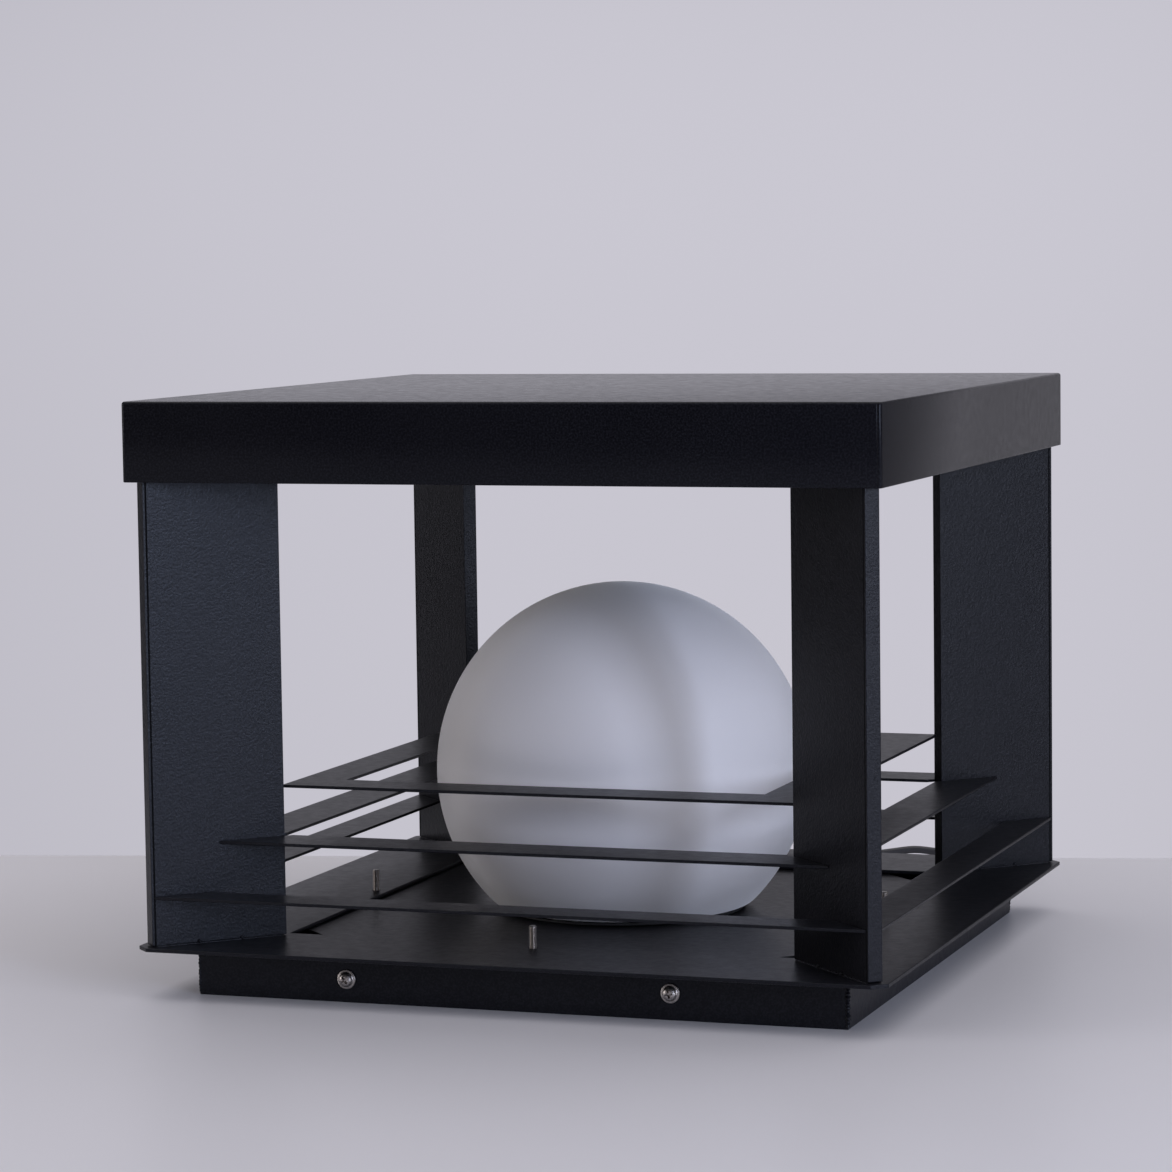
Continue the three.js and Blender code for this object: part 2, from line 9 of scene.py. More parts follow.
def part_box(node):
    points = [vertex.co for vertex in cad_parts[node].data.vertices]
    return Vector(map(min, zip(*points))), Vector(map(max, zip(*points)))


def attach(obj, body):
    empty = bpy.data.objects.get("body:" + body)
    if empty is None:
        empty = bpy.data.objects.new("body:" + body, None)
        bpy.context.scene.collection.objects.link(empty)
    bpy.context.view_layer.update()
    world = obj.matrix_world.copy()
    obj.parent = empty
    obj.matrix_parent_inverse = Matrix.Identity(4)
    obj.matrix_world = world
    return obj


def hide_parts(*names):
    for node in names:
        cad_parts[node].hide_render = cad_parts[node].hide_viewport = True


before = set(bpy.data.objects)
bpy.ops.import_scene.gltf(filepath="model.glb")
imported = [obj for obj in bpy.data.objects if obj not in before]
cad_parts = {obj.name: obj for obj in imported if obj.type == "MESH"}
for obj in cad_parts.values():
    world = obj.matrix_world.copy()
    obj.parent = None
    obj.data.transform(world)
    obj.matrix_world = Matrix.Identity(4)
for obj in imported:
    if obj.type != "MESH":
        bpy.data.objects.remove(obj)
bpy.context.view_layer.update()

MM = 0.001
TAU = 2 * math.pi
ROOT = "root"
scene = bpy.context.scene

SIDES = ("front", "right", "back", "left")
CORNERS = ("front_right", "back_right", "back_left", "front_left")


# ---------- camera ----------
CAMERA_PLACE = (0.50709, -1.49257, 0.28832)
CAMERA_YAW, CAMERA_DOWN, CAMERA_ROLL = 0.33644, 0.08698, -0.01343  # radians; yaw from facing +Y
FOCAL_LENGTH, SENSOR_WIDTH = 119.27, 36  # millimetres
CLIP_NEAR, CLIP_FAR = 0.05, 50


def add_camera():
    data = bpy.data.cameras.new("camera")
    data.sensor_width = SENSOR_WIDTH
    data.lens = FOCAL_LENGTH
    data.clip_start = CLIP_NEAR
    data.clip_end = CLIP_FAR
    camera = bpy.data.objects.new("camera", data)
    turn = Matrix.Rotation(CAMERA_YAW, 4, "Z") @ Matrix.Rotation(math.pi / 2 - CAMERA_DOWN, 4, "X")
    place = Matrix.Translation(CAMERA_PLACE)
    camera.matrix_world = place @ turn @ Matrix.Rotation(CAMERA_ROLL, 4, "Z")
    scene.collection.objects.link(camera)
    scene.camera = camera


# ---------- mesh helpers: profiles and points are in millimetres, meshes in metres ----------
def new_piece(name, bm, smooth=math.radians(35)):
    """An object from a bmesh in millimetres; edges sharper than smooth stay sharp."""
    bmesh.ops.scale(bm, vec=(MM, MM, MM), verts=bm.verts)
    bmesh.ops.recalc_face_normals(bm, faces=bm.faces)
    mesh = bpy.data.meshes.new(name)
    bm.to_mesh(mesh)
    bm.free()
    mesh.polygons.foreach_set("use_smooth", [True] * len(mesh.polygons))
    mesh.set_sharp_from_angle(angle=smooth)
    piece = bpy.data.objects.new(name, mesh)
    scene.collection.objects.link(piece)
    return piece


def settle(piece, finish, body=ROOT, stands_for=()):
    """Gives a piece its material and body, and hides the CAD nodes it stands for."""
    piece.data.materials.clear()
    piece.data.materials.append(finish)
    if stands_for:
        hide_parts(*stands_for)
    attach(piece, body)
    return piece


def neighbours(rings, looped):
    """Each ring with the next one; looped also pairs the last with the first."""
    following = rings[1:] + rings[:1] if looped else rings[1:]
    return zip(rings, following)


def skin(bm, rings, looped=False):
    """Quads between closed rings of equally many vertices; looped joins the last to the first."""
    count = len(rings[0])
    for low, high in neighbours(rings, looped):
        for i in range(count):
            j = (i + 1) % count
            bm.faces.new((low[i], low[j], high[j], high[i]))


def cap(bm, rings):
    """Flat faces over the first and last rings."""
    bm.faces.new(rings[0])
    bm.faces.new(rings[-1])


def rounded(profile, radius, steps=3, closed=True):
    """The profile with each corner replaced by a small arc of up to that radius."""
    out = []
    count = len(profile)
    for i, here in enumerate(profile):
        if not closed and i in (0, count - 1):
            out.append(tuple(here))
            continue
        point = Vector(here)
        before = Vector(profile[i - 1]) - point
        after = Vector(profile[(i + 1) % count]) - point
        angle = before.angle(after)
        if angle > math.radians(165):
            out.append(tuple(here))
            continue
        reach = min(radius / math.tan(angle / 2), 0.45 * before.length, 0.45 * after.length)
        start = point + before.normalized() * reach
        end = point + after.normalized() * reach
        for k in range(steps + 1):
            t = k / steps
            bow = start * (1 - t) ** 2 + point * 2 * t * (1 - t) + end * t * t
            out.append(tuple(bow))
    return out


def threaded(rows, sides=28, closed=False):
    """A body turned about Z from rows of (radius, height, thread depth, thread pitch).

    A depth cuts a helical vee, a zero radius is a point on the axis, and closed joins the last
    row to the first."""
    bm = bmesh.new()
    rings = []
    for radius, height, depth, pitch in rows:
        if radius < 1e-6:
            rings.append([bm.verts.new((0, 0, height))])
            continue
        ring = []
        for i in range(sides):
            share = (height / pitch - i / sides) % 1.0 if depth else 0.0
            cut = depth * (1 - abs(2 * share - 1))
            angle = TAU * i / sides
            reach = radius - cut
            ring.append(bm.verts.new((reach * math.cos(angle), reach * math.sin(angle), height)))
        rings.append(ring)
    for low, high in neighbours(rings, closed):
        for i in range(sides):
            j = (i + 1) % sides
            if len(low) == 1:
                bm.faces.new((low[0], high[j], high[i]))
            elif len(high) == 1:
                bm.faces.new((low[i], low[j], high[0]))
            else:
                bm.faces.new((low[i], low[j], high[j], high[i]))
    return bm


def lathe(profile, sides=48, closed=False):
    """A plain turned body from (radius, height) points; open profiles start and end on the axis."""
    return threaded([(radius, height, 0, 1) for radius, height in profile], sides, closed)


def tube(path, radius, sides=16):
    """A round tube along a path of points, with flat ends."""
    points = [Vector(p) for p in path]
    bm = bmesh.new()
    rings = []
    normal = None
    for i, point in enumerate(points):
        ahead = points[min(i + 1, len(points) - 1)] - points[max(i - 1, 0)]
        ahead.normalize()
        if normal is None:
            normal = ahead.orthogonal()
        normal = (normal - ahead * normal.dot(ahead)).normalized()
        across = ahead.cross(normal)
        ring = []
        for k in range(sides):
            angle = TAU * k / sides
            ring.append(bm.verts.new(
                point + normal * (radius * math.cos(angle)) + across * (radius * math.sin(angle))
            ))
        rings.append(ring)
    skin(bm, rings)
    cap(bm, rings)
    return bm


def through(points, step):
    """Points about a step apart along a smooth curve through the given ones."""
    knots = [Vector(p) for p in points]
    ends = [2 * knots[0] - knots[1], *knots, 2 * knots[-1] - knots[-2]]
    out = []
    for a, b, c, d in zip(ends, ends[1:], ends[2:], ends[3:]):
        count = max(1, round((c - b).length / step))
        for i in range(count):
            t = i / count
            out.append(0.5 * (
                2 * b + (c - a) * t + (2 * a - 5 * b + 4 * c - d) * t * t
                + (3 * b - a - 3 * c + d) * t ** 3
            ))
    out.append(knots[-1])
    return out


def rounded_square(half, radius, steps=5, seam=0.0):
    """Corner points of a square with round corners, anticlockwise; seam adds a fine groove
    beside each corner, where the folded sides meet."""
    points = []
    for quarter in range(4):
        turn = Matrix.Rotation(quarter * TAU / 4, 2)
        corner = []
        if seam:
            corner += [(half, half - radius - 0.5), (half - seam, half - radius - 0.3)]
            corner += [(half, half - radius - 0.1)]
        for k in range(steps + 1):
            angle = TAU / 4 * k / steps
            inner = half - radius
            corner.append((inner + radius * math.cos(angle), inner + radius * math.sin(angle)))
        points += [tuple(turn @ Vector(p)) for p in corner]
    return points


def stacked(levels):
    """A bmesh through levels of (points, height), with its first and last levels capped."""
    bm = bmesh.new()
    rings = [[bm.verts.new((x, y, z)) for x, y in points] for points, z in levels]
    skin(bm, rings)
    cap(bm, rings)
    return bm


def placed(bm, matrix):
    bmesh.ops.transform(bm, matrix=matrix, verts=bm.verts)
    return bm


def merged(*parts):
    """Several bmeshes as one, each a closed body of its own."""
    whole = bmesh.new()
    for part in parts:
        mesh = bpy.data.meshes.new("part")
        part.to_mesh(mesh)
        part.free()
        whole.from_mesh(mesh)
        bpy.data.meshes.remove(mesh)
    return whole


def carve(piece, tool, operation="DIFFERENCE"):
    """Cuts the tool out of the piece, then removes the tool."""
    change = piece.modifiers.new("carve", "BOOLEAN")
    change.operation = operation
    change.solver = "EXACT"
    change.object = tool
    apply_modifiers(piece)
    bpy.data.objects.remove(tool)


def apply_modifiers(piece):
    graph = bpy.context.evaluated_depsgraph_get()
    mesh = bpy.data.meshes.new_from_object(piece.evaluated_get(graph))
    piece.modifiers.clear()
    piece.data = mesh


def middle(node):
    """The middle of a CAD node's box, in millimetres."""
    low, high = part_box(node)
    return (low + high) / 2 / MM


def low_high(node):
    """The lowest and highest corners of a CAD node, in millimetres."""
    low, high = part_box(node)
    return low / MM, high / MM


# ---------- materials ----------
MIX_A, MIX_B, MIX_RESULT = 6, 7, 2  # colour sockets of the mix node


class Finish:
    """A Principled material with a few short ways to add procedural detail."""

    def __init__(self, name, color, roughness, metallic=0.0):
        self.material = bpy.data.materials.new(name)
        self.material.use_nodes = True
        self.nodes = self.material.node_tree.nodes
        self.links = self.material.node_tree.links
        self.shader = self.nodes["Principled BSDF"]
        self.color = color
        self.roughness = roughness
        self.shader.inputs["Base Color"].default_value = (*color, 1)
        self.shader.inputs["Roughness"].default_value = roughness
        self.shader.inputs["Metallic"].default_value = metallic
        self.place = self.nodes.new("ShaderNodeTexCoord").outputs["Object"]
        self.bumps = None

    def node(self, kind, settings=None, **inputs):
        made = self.nodes.new(kind)
        for key, value in (settings or {}).items():
            setattr(made, key, value)
        for key, value in inputs.items():
            self.feed(made.inputs[key.replace("_", " ")], value)
        return made

    def feed(self, socket, value):
        if isinstance(value, bpy.types.NodeSocket):
            self.links.new(value, socket)
        else:
            socket.default_value = value

    def noise(self, scale, detail=2.0, stretch=None):
        """Noise with features about 1/scale metres wide, stretched along an axis if asked."""
        place = self.place
        if stretch:
            place = self.node("ShaderNodeMapping", Vector=self.place, Scale=stretch).outputs[0]
        made = self.node("ShaderNodeTexNoise", Vector=place, Scale=scale, Detail=detail)
        return made.outputs["Fac"]

    def cells(self, scale):
        made = self.node("ShaderNodeTexVoronoi", Vector=self.place, Scale=scale)
        return made.outputs["Distance"]

    def ramp(self, value, low, high, to_low=0.0, to_high=1.0):
        """The value's range low to high spread over to_low to to_high."""
        made = self.node("ShaderNodeMapRange", Value=value)
        for key, number in (("From Min", low), ("From Max", high), ("To Min", to_low)):
            made.inputs[key].default_value = number
        made.inputs["To Max"].default_value = to_high
        return made.outputs["Result"]

    def tint(self, share, other):
        """Moves the base colour towards another by a share that varies over the surface."""
        now = self.shader.inputs["Base Color"]
        mix = self.node("ShaderNodeMix", {"data_type": "RGBA"})
        self.feed(mix.inputs["Factor"], share)
        source = now.links[0].from_socket if now.is_linked else tuple(now.default_value)
        self.feed(mix.inputs[MIX_A], source)
        self.feed(mix.inputs[MIX_B], (*other, 1))
        self.links.new(mix.outputs[MIX_RESULT], now)

    def rough(self, value, spread):
        """Roughness that varies with a noise value by plus or minus the spread."""
        base = self.roughness
        result = self.ramp(value, 0.3, 0.7, base - spread, base + spread)
        self.links.new(result, self.shader.inputs["Roughness"])

    def bump(self, height, depth):
        """Relief from a height value, depth metres deep."""
        made = self.node("ShaderNodeBump", Height=height, Distance=depth)
        if self.bumps is not None:
            self.links.new(self.bumps, made.inputs["Normal"])
        self.bumps = made.outputs["Normal"]
        self.links.new(self.bumps, self.shader.inputs["Normal"])

    def set(self, **sockets):
        for key, value in sockets.items():
            self.shader.inputs[key.replace("_", " ")].default_value = value
        return self


def powder_coat(name, roughness, shine, relief, seam=None):
    """Black powder coat: satin-matt, with a fine pebbled grain and faint cloudy patches."""
    coat = Finish(name, (0.0034, 0.0034, 0.005), roughness)
    coat.set(Specular_IOR_Level=shine)
    coat.shader.inputs["Specular Tint"].default_value = (0.86, 0.91, 1.0, 1.0)
    patches = coat.noise(14, 3)
    coat.tint(coat.ramp(patches, 0.35, 0.7, 0.0, 0.4), (0.0075, 0.0075, 0.0095))
    grain = coat.noise(1300, 2)
    coat.tint(coat.ramp(grain, 0.42, 0.66, 0.0, 0.35), (0.022, 0.022, 0.028))
    coat.rough(coat.noise(260, 3), 0.03)
    coat.bump(coat.noise(1100, 2), relief * MM)
    coat.bump(coat.cells(420), 0.00003)
    # a seam adds a groove down each post, darkened with painted shade
    if seam:
        groove_and_painted_shade(coat, seam)
    return coat.material


SEAM_REACH = 203.9  # mm from the middle along the diagonal to the line down each post
SEAM_HALF_WIDTH = 0.0005  # in the sum of |x| and |y|, metres
SEAM_DEPTH = 0.0002
# painted shade: the line's darker colour stands in for the shade on the posts' rounded outer edge
SEAM_PAINTED_SHADE = (0.0012, 0.0012, 0.0016)


def groove_and_painted_shade(coat, seam):
    """A fine line down each post at that reach along the diagonal: a shallow groove, rougher than the coat,
    with its colour darkened as painted shade.
    """
    apart = coat.node("ShaderNodeSeparateXYZ", Vector=coat.place)
    sides = []
    for axis in ("X", "Y"):
        sides.append(coat.node("ShaderNodeMath", {"operation": "ABSOLUTE"}, Value=apart.outputs[axis]))
    reach = coat.node("ShaderNodeMath", {"operation": "ADD"})
    for k, side in enumerate(sides):
        coat.links.new(side.outputs[0], reach.inputs[k])
    off = coat.node("ShaderNodeMath", {"operation": "COMPARE"})
    coat.links.new(reach.outputs[0], off.inputs[0])
    off.inputs[1].default_value = seam * MM * math.sqrt(2)
    off.inputs[2].default_value = SEAM_HALF_WIDTH
    # painted shade: darkens the coat's colour along the line
    coat.tint(off.outputs[0], SEAM_PAINTED_SHADE)
    gloss = coat.shader.inputs["Roughness"]
    rougher = coat.node("ShaderNodeMath", {"operation": "ADD", "use_clamp": True})
    coat.links.new(gloss.links[0].from_socket, rougher.inputs[0])
    coat.links.new(off.outputs[0], rougher.inputs[1])
    coat.links.new(rougher.outputs[0], gloss)
    coat.bump(coat.ramp(off.outputs[0], 0, 1, 1, 0), SEAM_DEPTH)


def frosted():
    """Frosted opal acrylic: soft, faintly glowing through its thin wall."""
    globe = Finish("frosted_globe", (0.88, 0.855, 0.88), 0.5)
    globe.set(Specular_IOR_Level=0.5, Subsurface_Weight=0.5, Subsurface_Scale=0.005)
    globe.set(Sheen_Weight=0.8, Sheen_Roughness=0.6)
    globe.shader.inputs["Subsurface Radius"].default_value = (1.0, 1.0, 1.0)
    globe.tint(globe.ramp(globe.noise(22, 3), 0.3, 0.75, 0.0, 0.12), (0.86, 0.835, 0.855))
    globe.rough(globe.noise(60, 3), 0.03)
    globe.bump(globe.noise(1500, 2), 0.000015)
    return globe.material


def opal():
    cover = Finish("opal_cover", (0.82, 0.82, 0.8), 0.45)
    cover.set(Subsurface_Weight=0.3, Subsurface_Scale=0.006)
    cover.tint(cover.ramp(cover.noise(80, 2), 0.4, 0.8, 0.0, 0.15), (0.74, 0.74, 0.72))
    cover.rough(cover.noise(120), 0.04)
    cover.bump(cover.noise(2400, 1), 0.00001)
    return cover.material


def stainless():
    """Bright stainless fasteners with fine turning marks and a little handling haze."""
    steel = Finish("stainless", (0.5, 0.465, 0.44), 0.33, 1.0)
    marks = steel.noise(5200, 2, stretch=(1, 1, 0.15))
    steel.rough(marks, 0.07)
    steel.tint(steel.ramp(steel.noise(700, 2), 0.45, 0.8, 0.0, 0.5), (0.3, 0.285, 0.27))
    steel.bump(marks, 0.000006)
    return steel.material


def zinc():
    """Zinc-plated sheet with a faint spangle."""
    plate = Finish("zinc", (0.4, 0.41, 0.42), 0.42, 1.0)
    spangle = plate.node("ShaderNodeTexVoronoi", Vector=plate.place, Scale=160.0)
    plate.tint(plate.ramp(spangle.outputs["Color"], 0.2, 0.9, 0.0, 0.5), (0.3, 0.305, 0.315))
    plate.rough(plate.noise(90, 3), 0.1)
    plate.bump(plate.noise(900, 2), 0.000012)
    return plate.material


def plated(name, color, roughness):
    """Pressed and plated metal: brass or nickel, with handling marks."""
    metal = Finish(name, color, roughness, 1.0)
    metal.tint(metal.ramp(metal.noise(260, 3), 0.5, 0.8, 0.0, 0.5), tuple(0.6 * c for c in color))
    metal.rough(metal.noise(420, 3), 0.08)
    metal.bump(metal.noise(2000, 1), 0.000006)
    return metal.material


def moulded(name, color, roughness, grain=1300, depth=0.00002):
    """Moulded plastic or rubber: an even fine grain with slightly varied gloss."""
    plastic = Finish(name, color, roughness)
    lighter = tuple(min(1.0, 1.25 * c + 0.004) for c in color)
    plastic.tint(plastic.ramp(plastic.noise(grain / 9, 3), 0.4, 0.75, 0.0, 0.6), lighter)
    plastic.rough(plastic.noise(grain / 5, 2), 0.06)
    plastic.bump(plastic.noise(grain, 2), depth)
    return plastic.material


def copper():
    strands = Finish("copper", (0.62, 0.27, 0.13), 0.32, 1.0)
    strands.tint(strands.ramp(strands.noise(900, 2), 0.45, 0.8, 0.0, 0.6), (0.3, 0.13, 0.07))
    strands.rough(strands.noise(1500, 2), 0.08)
    strands.bump(strands.noise(6000, 1), 0.00001)
    return strands.material


BLACK = powder_coat("powder_coat", 0.38, 0.22, 0.07)
BLACK_LID = powder_coat("powder_coat_lid", 0.22, 0.13, 0.04)
BLACK_POST = powder_coat("powder_coat_post", 0.34, 0.23, 0.11, seam=SEAM_REACH)
FROSTED = frosted()
OPAL = opal()
STEEL = stainless()
ZINC = zinc()
BRASS = plated("brass", (0.62, 0.4, 0.13), 0.3)
NICKEL = plated("nickel", (0.62, 0.6, 0.56), 0.22)
COPPER = copper()
WHITE = moulded("white_plastic", (0.74, 0.74, 0.71), 0.38)
BLACK_PLASTIC = moulded("black_plastic", (0.014, 0.014, 0.015), 0.42)
RUBBER = moulded("rubber", (0.014, 0.014, 0.015), 0.62, grain=900, depth=0.00004)
SHEATH = moulded("cord_sheath", (0.028, 0.028, 0.032), 0.5, grain=1500, depth=0.00002)
BLUE = moulded("blue_insulation", (0.02, 0.07, 0.3), 0.35)
BROWN = moulded("brown_insulation", (0.1, 0.035, 0.015), 0.35)

# ---------- supply cord ----------
CORD_RADIUS = 1.75
GLAND_X, GLAND_Z = 100, 9.2  # the gland's axis, which runs along Y
BOOT_START, BOOT_END = 135.6, 156.0
BOOT_BORE, BOOT_RIBS, RIB_PITCH = 2.05, 8, 1.95
CORD_EXIT = (GLAND_X, 156.3, GLAND_Z)
COIL_X, COIL_Y = -44, 214
COIL_WIDE, COIL_NARROW = 24.45, 14.05  # radius of the outermost and innermost turns
COIL_BORE, COIL_RIM = COIL_NARROW - CORD_RADIUS, COIL_WIDE + CORD_RADIUS
TIE_GAP = 0.3
LOW_LAYER, HIGH_LAYER = 2.65, 6.15  # height of each layer's centreline
TURNS = (COIL_WIDE - COIL_NARROW) / (2 * CORD_RADIUS)
CLIMB = 0.25  # part of a turn in which the cord climbs to its second layer
POINTS_PER_TURN = 24
FREE_ROUTE = (
    CORD_EXIT, (100, 161, 9.1), (100, 166.5, 8.4), (100, 173, 6.8), (100, 180, 4.6),
    (100, 187, 2.7), (100, 195, 1.9), (100.5, 205, 1.8), (101, 216, 1.8), (100.5, 228, 1.8),
    (98, 239, 1.8), (93, 248, 1.9), (86, 255, 2.3), (77, 259.8, 3), (66, 262.2, 3.9),
    (55, 262.2, 4.6), (44.5, 259.4, 3.4), (33, 255.2, 2.1), (20, 251, 1.8), (5, 246.5, 1.8),
    (-10, 241.6, 1.8), (-20, 239.6, 2), (-29.5, 238.6, 2.3), (-37, 238.6, 2.55),
)
TAIL_ROUTE = ((-69, 216, 5.3), (-71.4, 209, 3.6), (-73.4, 202, 2.2), (-75, 194, 1.8), (-76, 184, 1.8))


def coil_points():
    """The winding: inwards along the lower layer, up, and outwards along the upper one."""
    points = []
    whole = 2 * TURNS + CLIMB
    count = math.ceil(whole * POINTS_PER_TURN)
    for i in range(count + 1):
        turn = whole * i / count
        inwards = min(turn, TURNS)
        outwards = max(0.0, turn - TURNS - CLIMB)
        radius = COIL_WIDE - 2 * CORD_RADIUS * (inwards - outwards)
        climb = min(max((turn - TURNS) / CLIMB, 0.0), 1.0)
        smooth_climb = climb * climb * (3 - 2 * climb)
        height = LOW_LAYER + (HIGH_LAYER - LOW_LAYER) * smooth_climb
        angle = TAU / 4 + TAU * turn
        points.append((COIL_X + radius * math.cos(angle), COIL_Y + radius * math.sin(angle), height))
    return points


def add_tie():
    """A flat band round the turns."""
    low, high = low_high("cord_coil")
    inner, outer = COIL_BORE - TIE_GAP, COIL_RIM + TIE_GAP
    thick, half = 0.6, 2.0
    z0, z1 = low.z - TIE_GAP, high.z + TIE_GAP
    outline = rounded([(inner, z0), (outer, z0), (outer, z1), (inner, z1)], 1.6, 4)
    centre = Vector(((inner + outer) / 2, (z0 + z1) / 2))
    bm = bmesh.new()
    rings = []
    for x, z in outline:
        out = (Vector((x, z)) - centre).normalized() * thick
        section = []
        for side, share in ((-half, 0), (half, 0), (half, 1), (-half, 1)):
            section.append(bm.verts.new((x + out.x * share, side, z + out.y * share)))
        rings.append(section)
    skin(bm, rings, looped=True)
    turn = Matrix.Translation((COIL_X, COIL_Y, 0)) @ Matrix.Rotation(-TAU / 8, 4, "Z")
    tie = new_piece("cord_tie_band", placed(bm, turn))
    return settle(tie, RUBBER, stands_for=["cord_tie"])


def gland_axis():
    """Lays a lathed shape, turned about +Z, along the gland's axis with its z as the frame's y."""
    return Matrix.Translation((GLAND_X, 0, GLAND_Z)) @ Matrix.Rotation(-TAU / 4, 4, "X")


def add_boot():
    """The cord's ribbed, tapered strain relief on the gland."""
    collar = BOOT_START + 3.8
    profile = [(BOOT_BORE, BOOT_START), (6.2, BOOT_START), (6.2, collar)]
    for k in range(BOOT_RIBS):
        y = collar + 0.5 + RIB_PITCH * k
        reach = 5.5 - 0.3 * k
        profile += [(reach, y), (reach, y + 1.0), (reach - 0.75, y + 1.1), (reach - 0.75, y + 1.8)]
    profile += [(2.75, BOOT_END), (BOOT_BORE, BOOT_END)]
    ribbed = lathe(rounded(profile, 0.25), 40, closed=True)
    boot = new_piece("gland_strain_boot", placed(ribbed, gland_axis()))
    return settle(boot, RUBBER, stands_for=["gland_boot"])


def add_core(side, finish):
    """A bared core: insulation, then twisted strands at its end."""
    node = f"cord_core_{side}"
    low, high = low_high(node)
    x, z = (low.x + high.x) / 2, (low.z + high.z) / 2
    bare = 5.0
    sleeve = rounded([(0.35, 0), (0.7, 0), (0.7, high.y - low.y - bare), (0.35, high.y - low.y - bare)], 0.1)
    lay = Matrix.Translation((x, high.y, z)) @ Matrix.Rotation(TAU / 4, 4, "X")
    body = new_piece(f"core_{side}_insulation", placed(lathe(sleeve, 20, closed=True), lay))
    settle(body, finish, stands_for=[node])
    strands = []
    for k in range(6):
        path = []
        for i in range(15):
            t = i / 14
            angle = TAU * (k / 6 + 0.9 * t)
            y = high.y - (high.y - low.y - bare) + 0.5 - t * (bare + 0.4)
            path.append((x + 0.2 * math.cos(angle), y, z + 0.2 * math.sin(angle)))
        strands.append(tube(path, 0.11, 8))
    wires = settle(new_piece(f"core_{side}_strands", merged(*strands)), COPPER)
    return [body, wires]


def add_supply_cord():
    free = through((*FREE_ROUTE, coil_points()[0]), 2.5)
    coil = coil_points()[1:]
    tail = through((coil[-1], *TAIL_ROUTE), 2.5)[1:]
    path = [*free, *[Vector(p) for p in coil], *tail]
    cord = new_piece("supply_lead", tube(path, CORD_RADIUS, 16))
    settle(cord, SHEATH, stands_for=["supply_cord", "cord_coil", "cord_tail"])
    tie = add_tie()
    boot = add_boot()
    cores = [*add_core("neutral", BLUE), *add_core("live", BROWN)]


add_camera()
add_supply_cord()


# ---------- sheet-metal body ----------
SKIRT_HALF = 131
SKIRT_FACE = 131.3  # where screw heads and the gland's hexagon stand on it
POST_INNER, POST_OUTER, POST_HALF_THICK = 150.5, 204.0, 3.0
TACKS = (168.4, 186.0)  # reach of the larger weld spots along a post


def dress(node, finish, edge):
    """Keeps a CAD node's shape and gives it a finish and finely rounded edges."""
    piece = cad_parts[node]
    piece.data.materials.clear()
    piece.data.materials.append(finish)
    weld = piece.modifiers.new("weld", "WELD")
    weld.merge_threshold = 0.00001
    soft = piece.modifiers.new("edges", "BEVEL")
    soft.width = edge * MM
    soft.segments = 3
    soft.limit_method = "ANGLE"
    soft.angle_limit = math.radians(40)
    piece.modifiers.new("shade", "WEIGHTED_NORMAL")


def add_sheet_metal():
    for corner in CORNERS:
        dress(f"post_{corner}", BLACK_POST, 0.4)
        dress(f"lid_socket_{corner}", ZINC, 0.25)
    for side in SIDES:
        dress(f"ring_middle_{side}", BLACK, 0.3)
        dress(f"ring_lower_{side}", BLACK, 0.3)
    for node, edge in (("ring_upper", 0.3), ("base_flange", 0.35), ("floor_plate", 0.3), ("skirt", 0.4)):
        dress(node, BLACK, edge)
    dress("mounting_bracket", ZINC, 0.35)


def add_lid():
    """The lid: a tray folded from one sheet, with bent edges and a closed seam at each corner."""
    low, high = low_high("lid_shell")
    half, top, brim = high.x, high.z, low.z
    sheet, bend, corner, seam = 1.5, 1.2, 1.4, 0.16
    inner = half - sheet
    levels = [
        (rounded_square(inner - 0.3, 0.4, seam=0.001), top - sheet),
        (rounded_square(inner, 0.5, seam=0.001), top - sheet - 0.3),
        (rounded_square(inner, 0.5, seam=0.001), brim + 0.35),
        (rounded_square(inner + 0.1, 0.55, seam=0.001), brim + 0.1),
        (rounded_square(inner + 0.35, 0.6, seam=0.001), brim),
        (rounded_square(half - 0.35, corner - 0.35, seam=seam / 2), brim),
        (rounded_square(half - 0.1, corner - 0.1, seam=seam), brim + 0.1),
        (rounded_square(half, corner, seam=seam), brim + 0.35),
    ]
    for k in range(7):
        angle = TAU / 4 * k / 6
        inset = bend * (1 - math.cos(angle))
        height = top - bend + bend * math.sin(angle)
        outline = rounded_square(half - inset, max(corner - inset, 0.3), seam=seam * (1 - k / 6) + 0.001)
        levels.append((outline, height))
    lid = new_piece("lid_tray", stacked(levels), smooth=math.radians(40))
    settle(lid, BLACK_LID, "lid", stands_for=["lid_shell"])


RIPPLE_PITCH = 1.4  # from one ripple of a weld bead to the next


def bead(start, end, radius, ripple=0.16):
    """A weld bead along a straight joint: a round run with shallow, uneven ripples."""
    start, end = Vector(start), Vector(end)
    count = max(6, round((end - start).length / 0.45))
    along = (end - start).normalized()
    side = along.orthogonal().normalized()
    up = along.cross(side)
    bm = bmesh.new()
    rings = []
    for i in range(count + 1):
        t = i / count
        run = (end - start).length * t
        slow_wave = math.sin(TAU * run / (2.7 * RIPPLE_PITCH) + 1.3)
        wave = math.sin(TAU * run / RIPPLE_PITCH) + 0.6 * slow_wave
        taper = min(1.0, math.sqrt(max(0.02, 1 - abs(2 * t - 1) ** 12)))
        size = radius * taper * (1 + ripple * wave)
        ring = []
        for k in range(10):
            angle = TAU * k / 10
            offset = side * math.cos(angle) + up * math.sin(angle)
            ring.append(bm.verts.new(start + (end - start) * t + offset * size))
        rings.append(ring)
    skin(bm, rings)
    cap(bm, rings)
    return bm


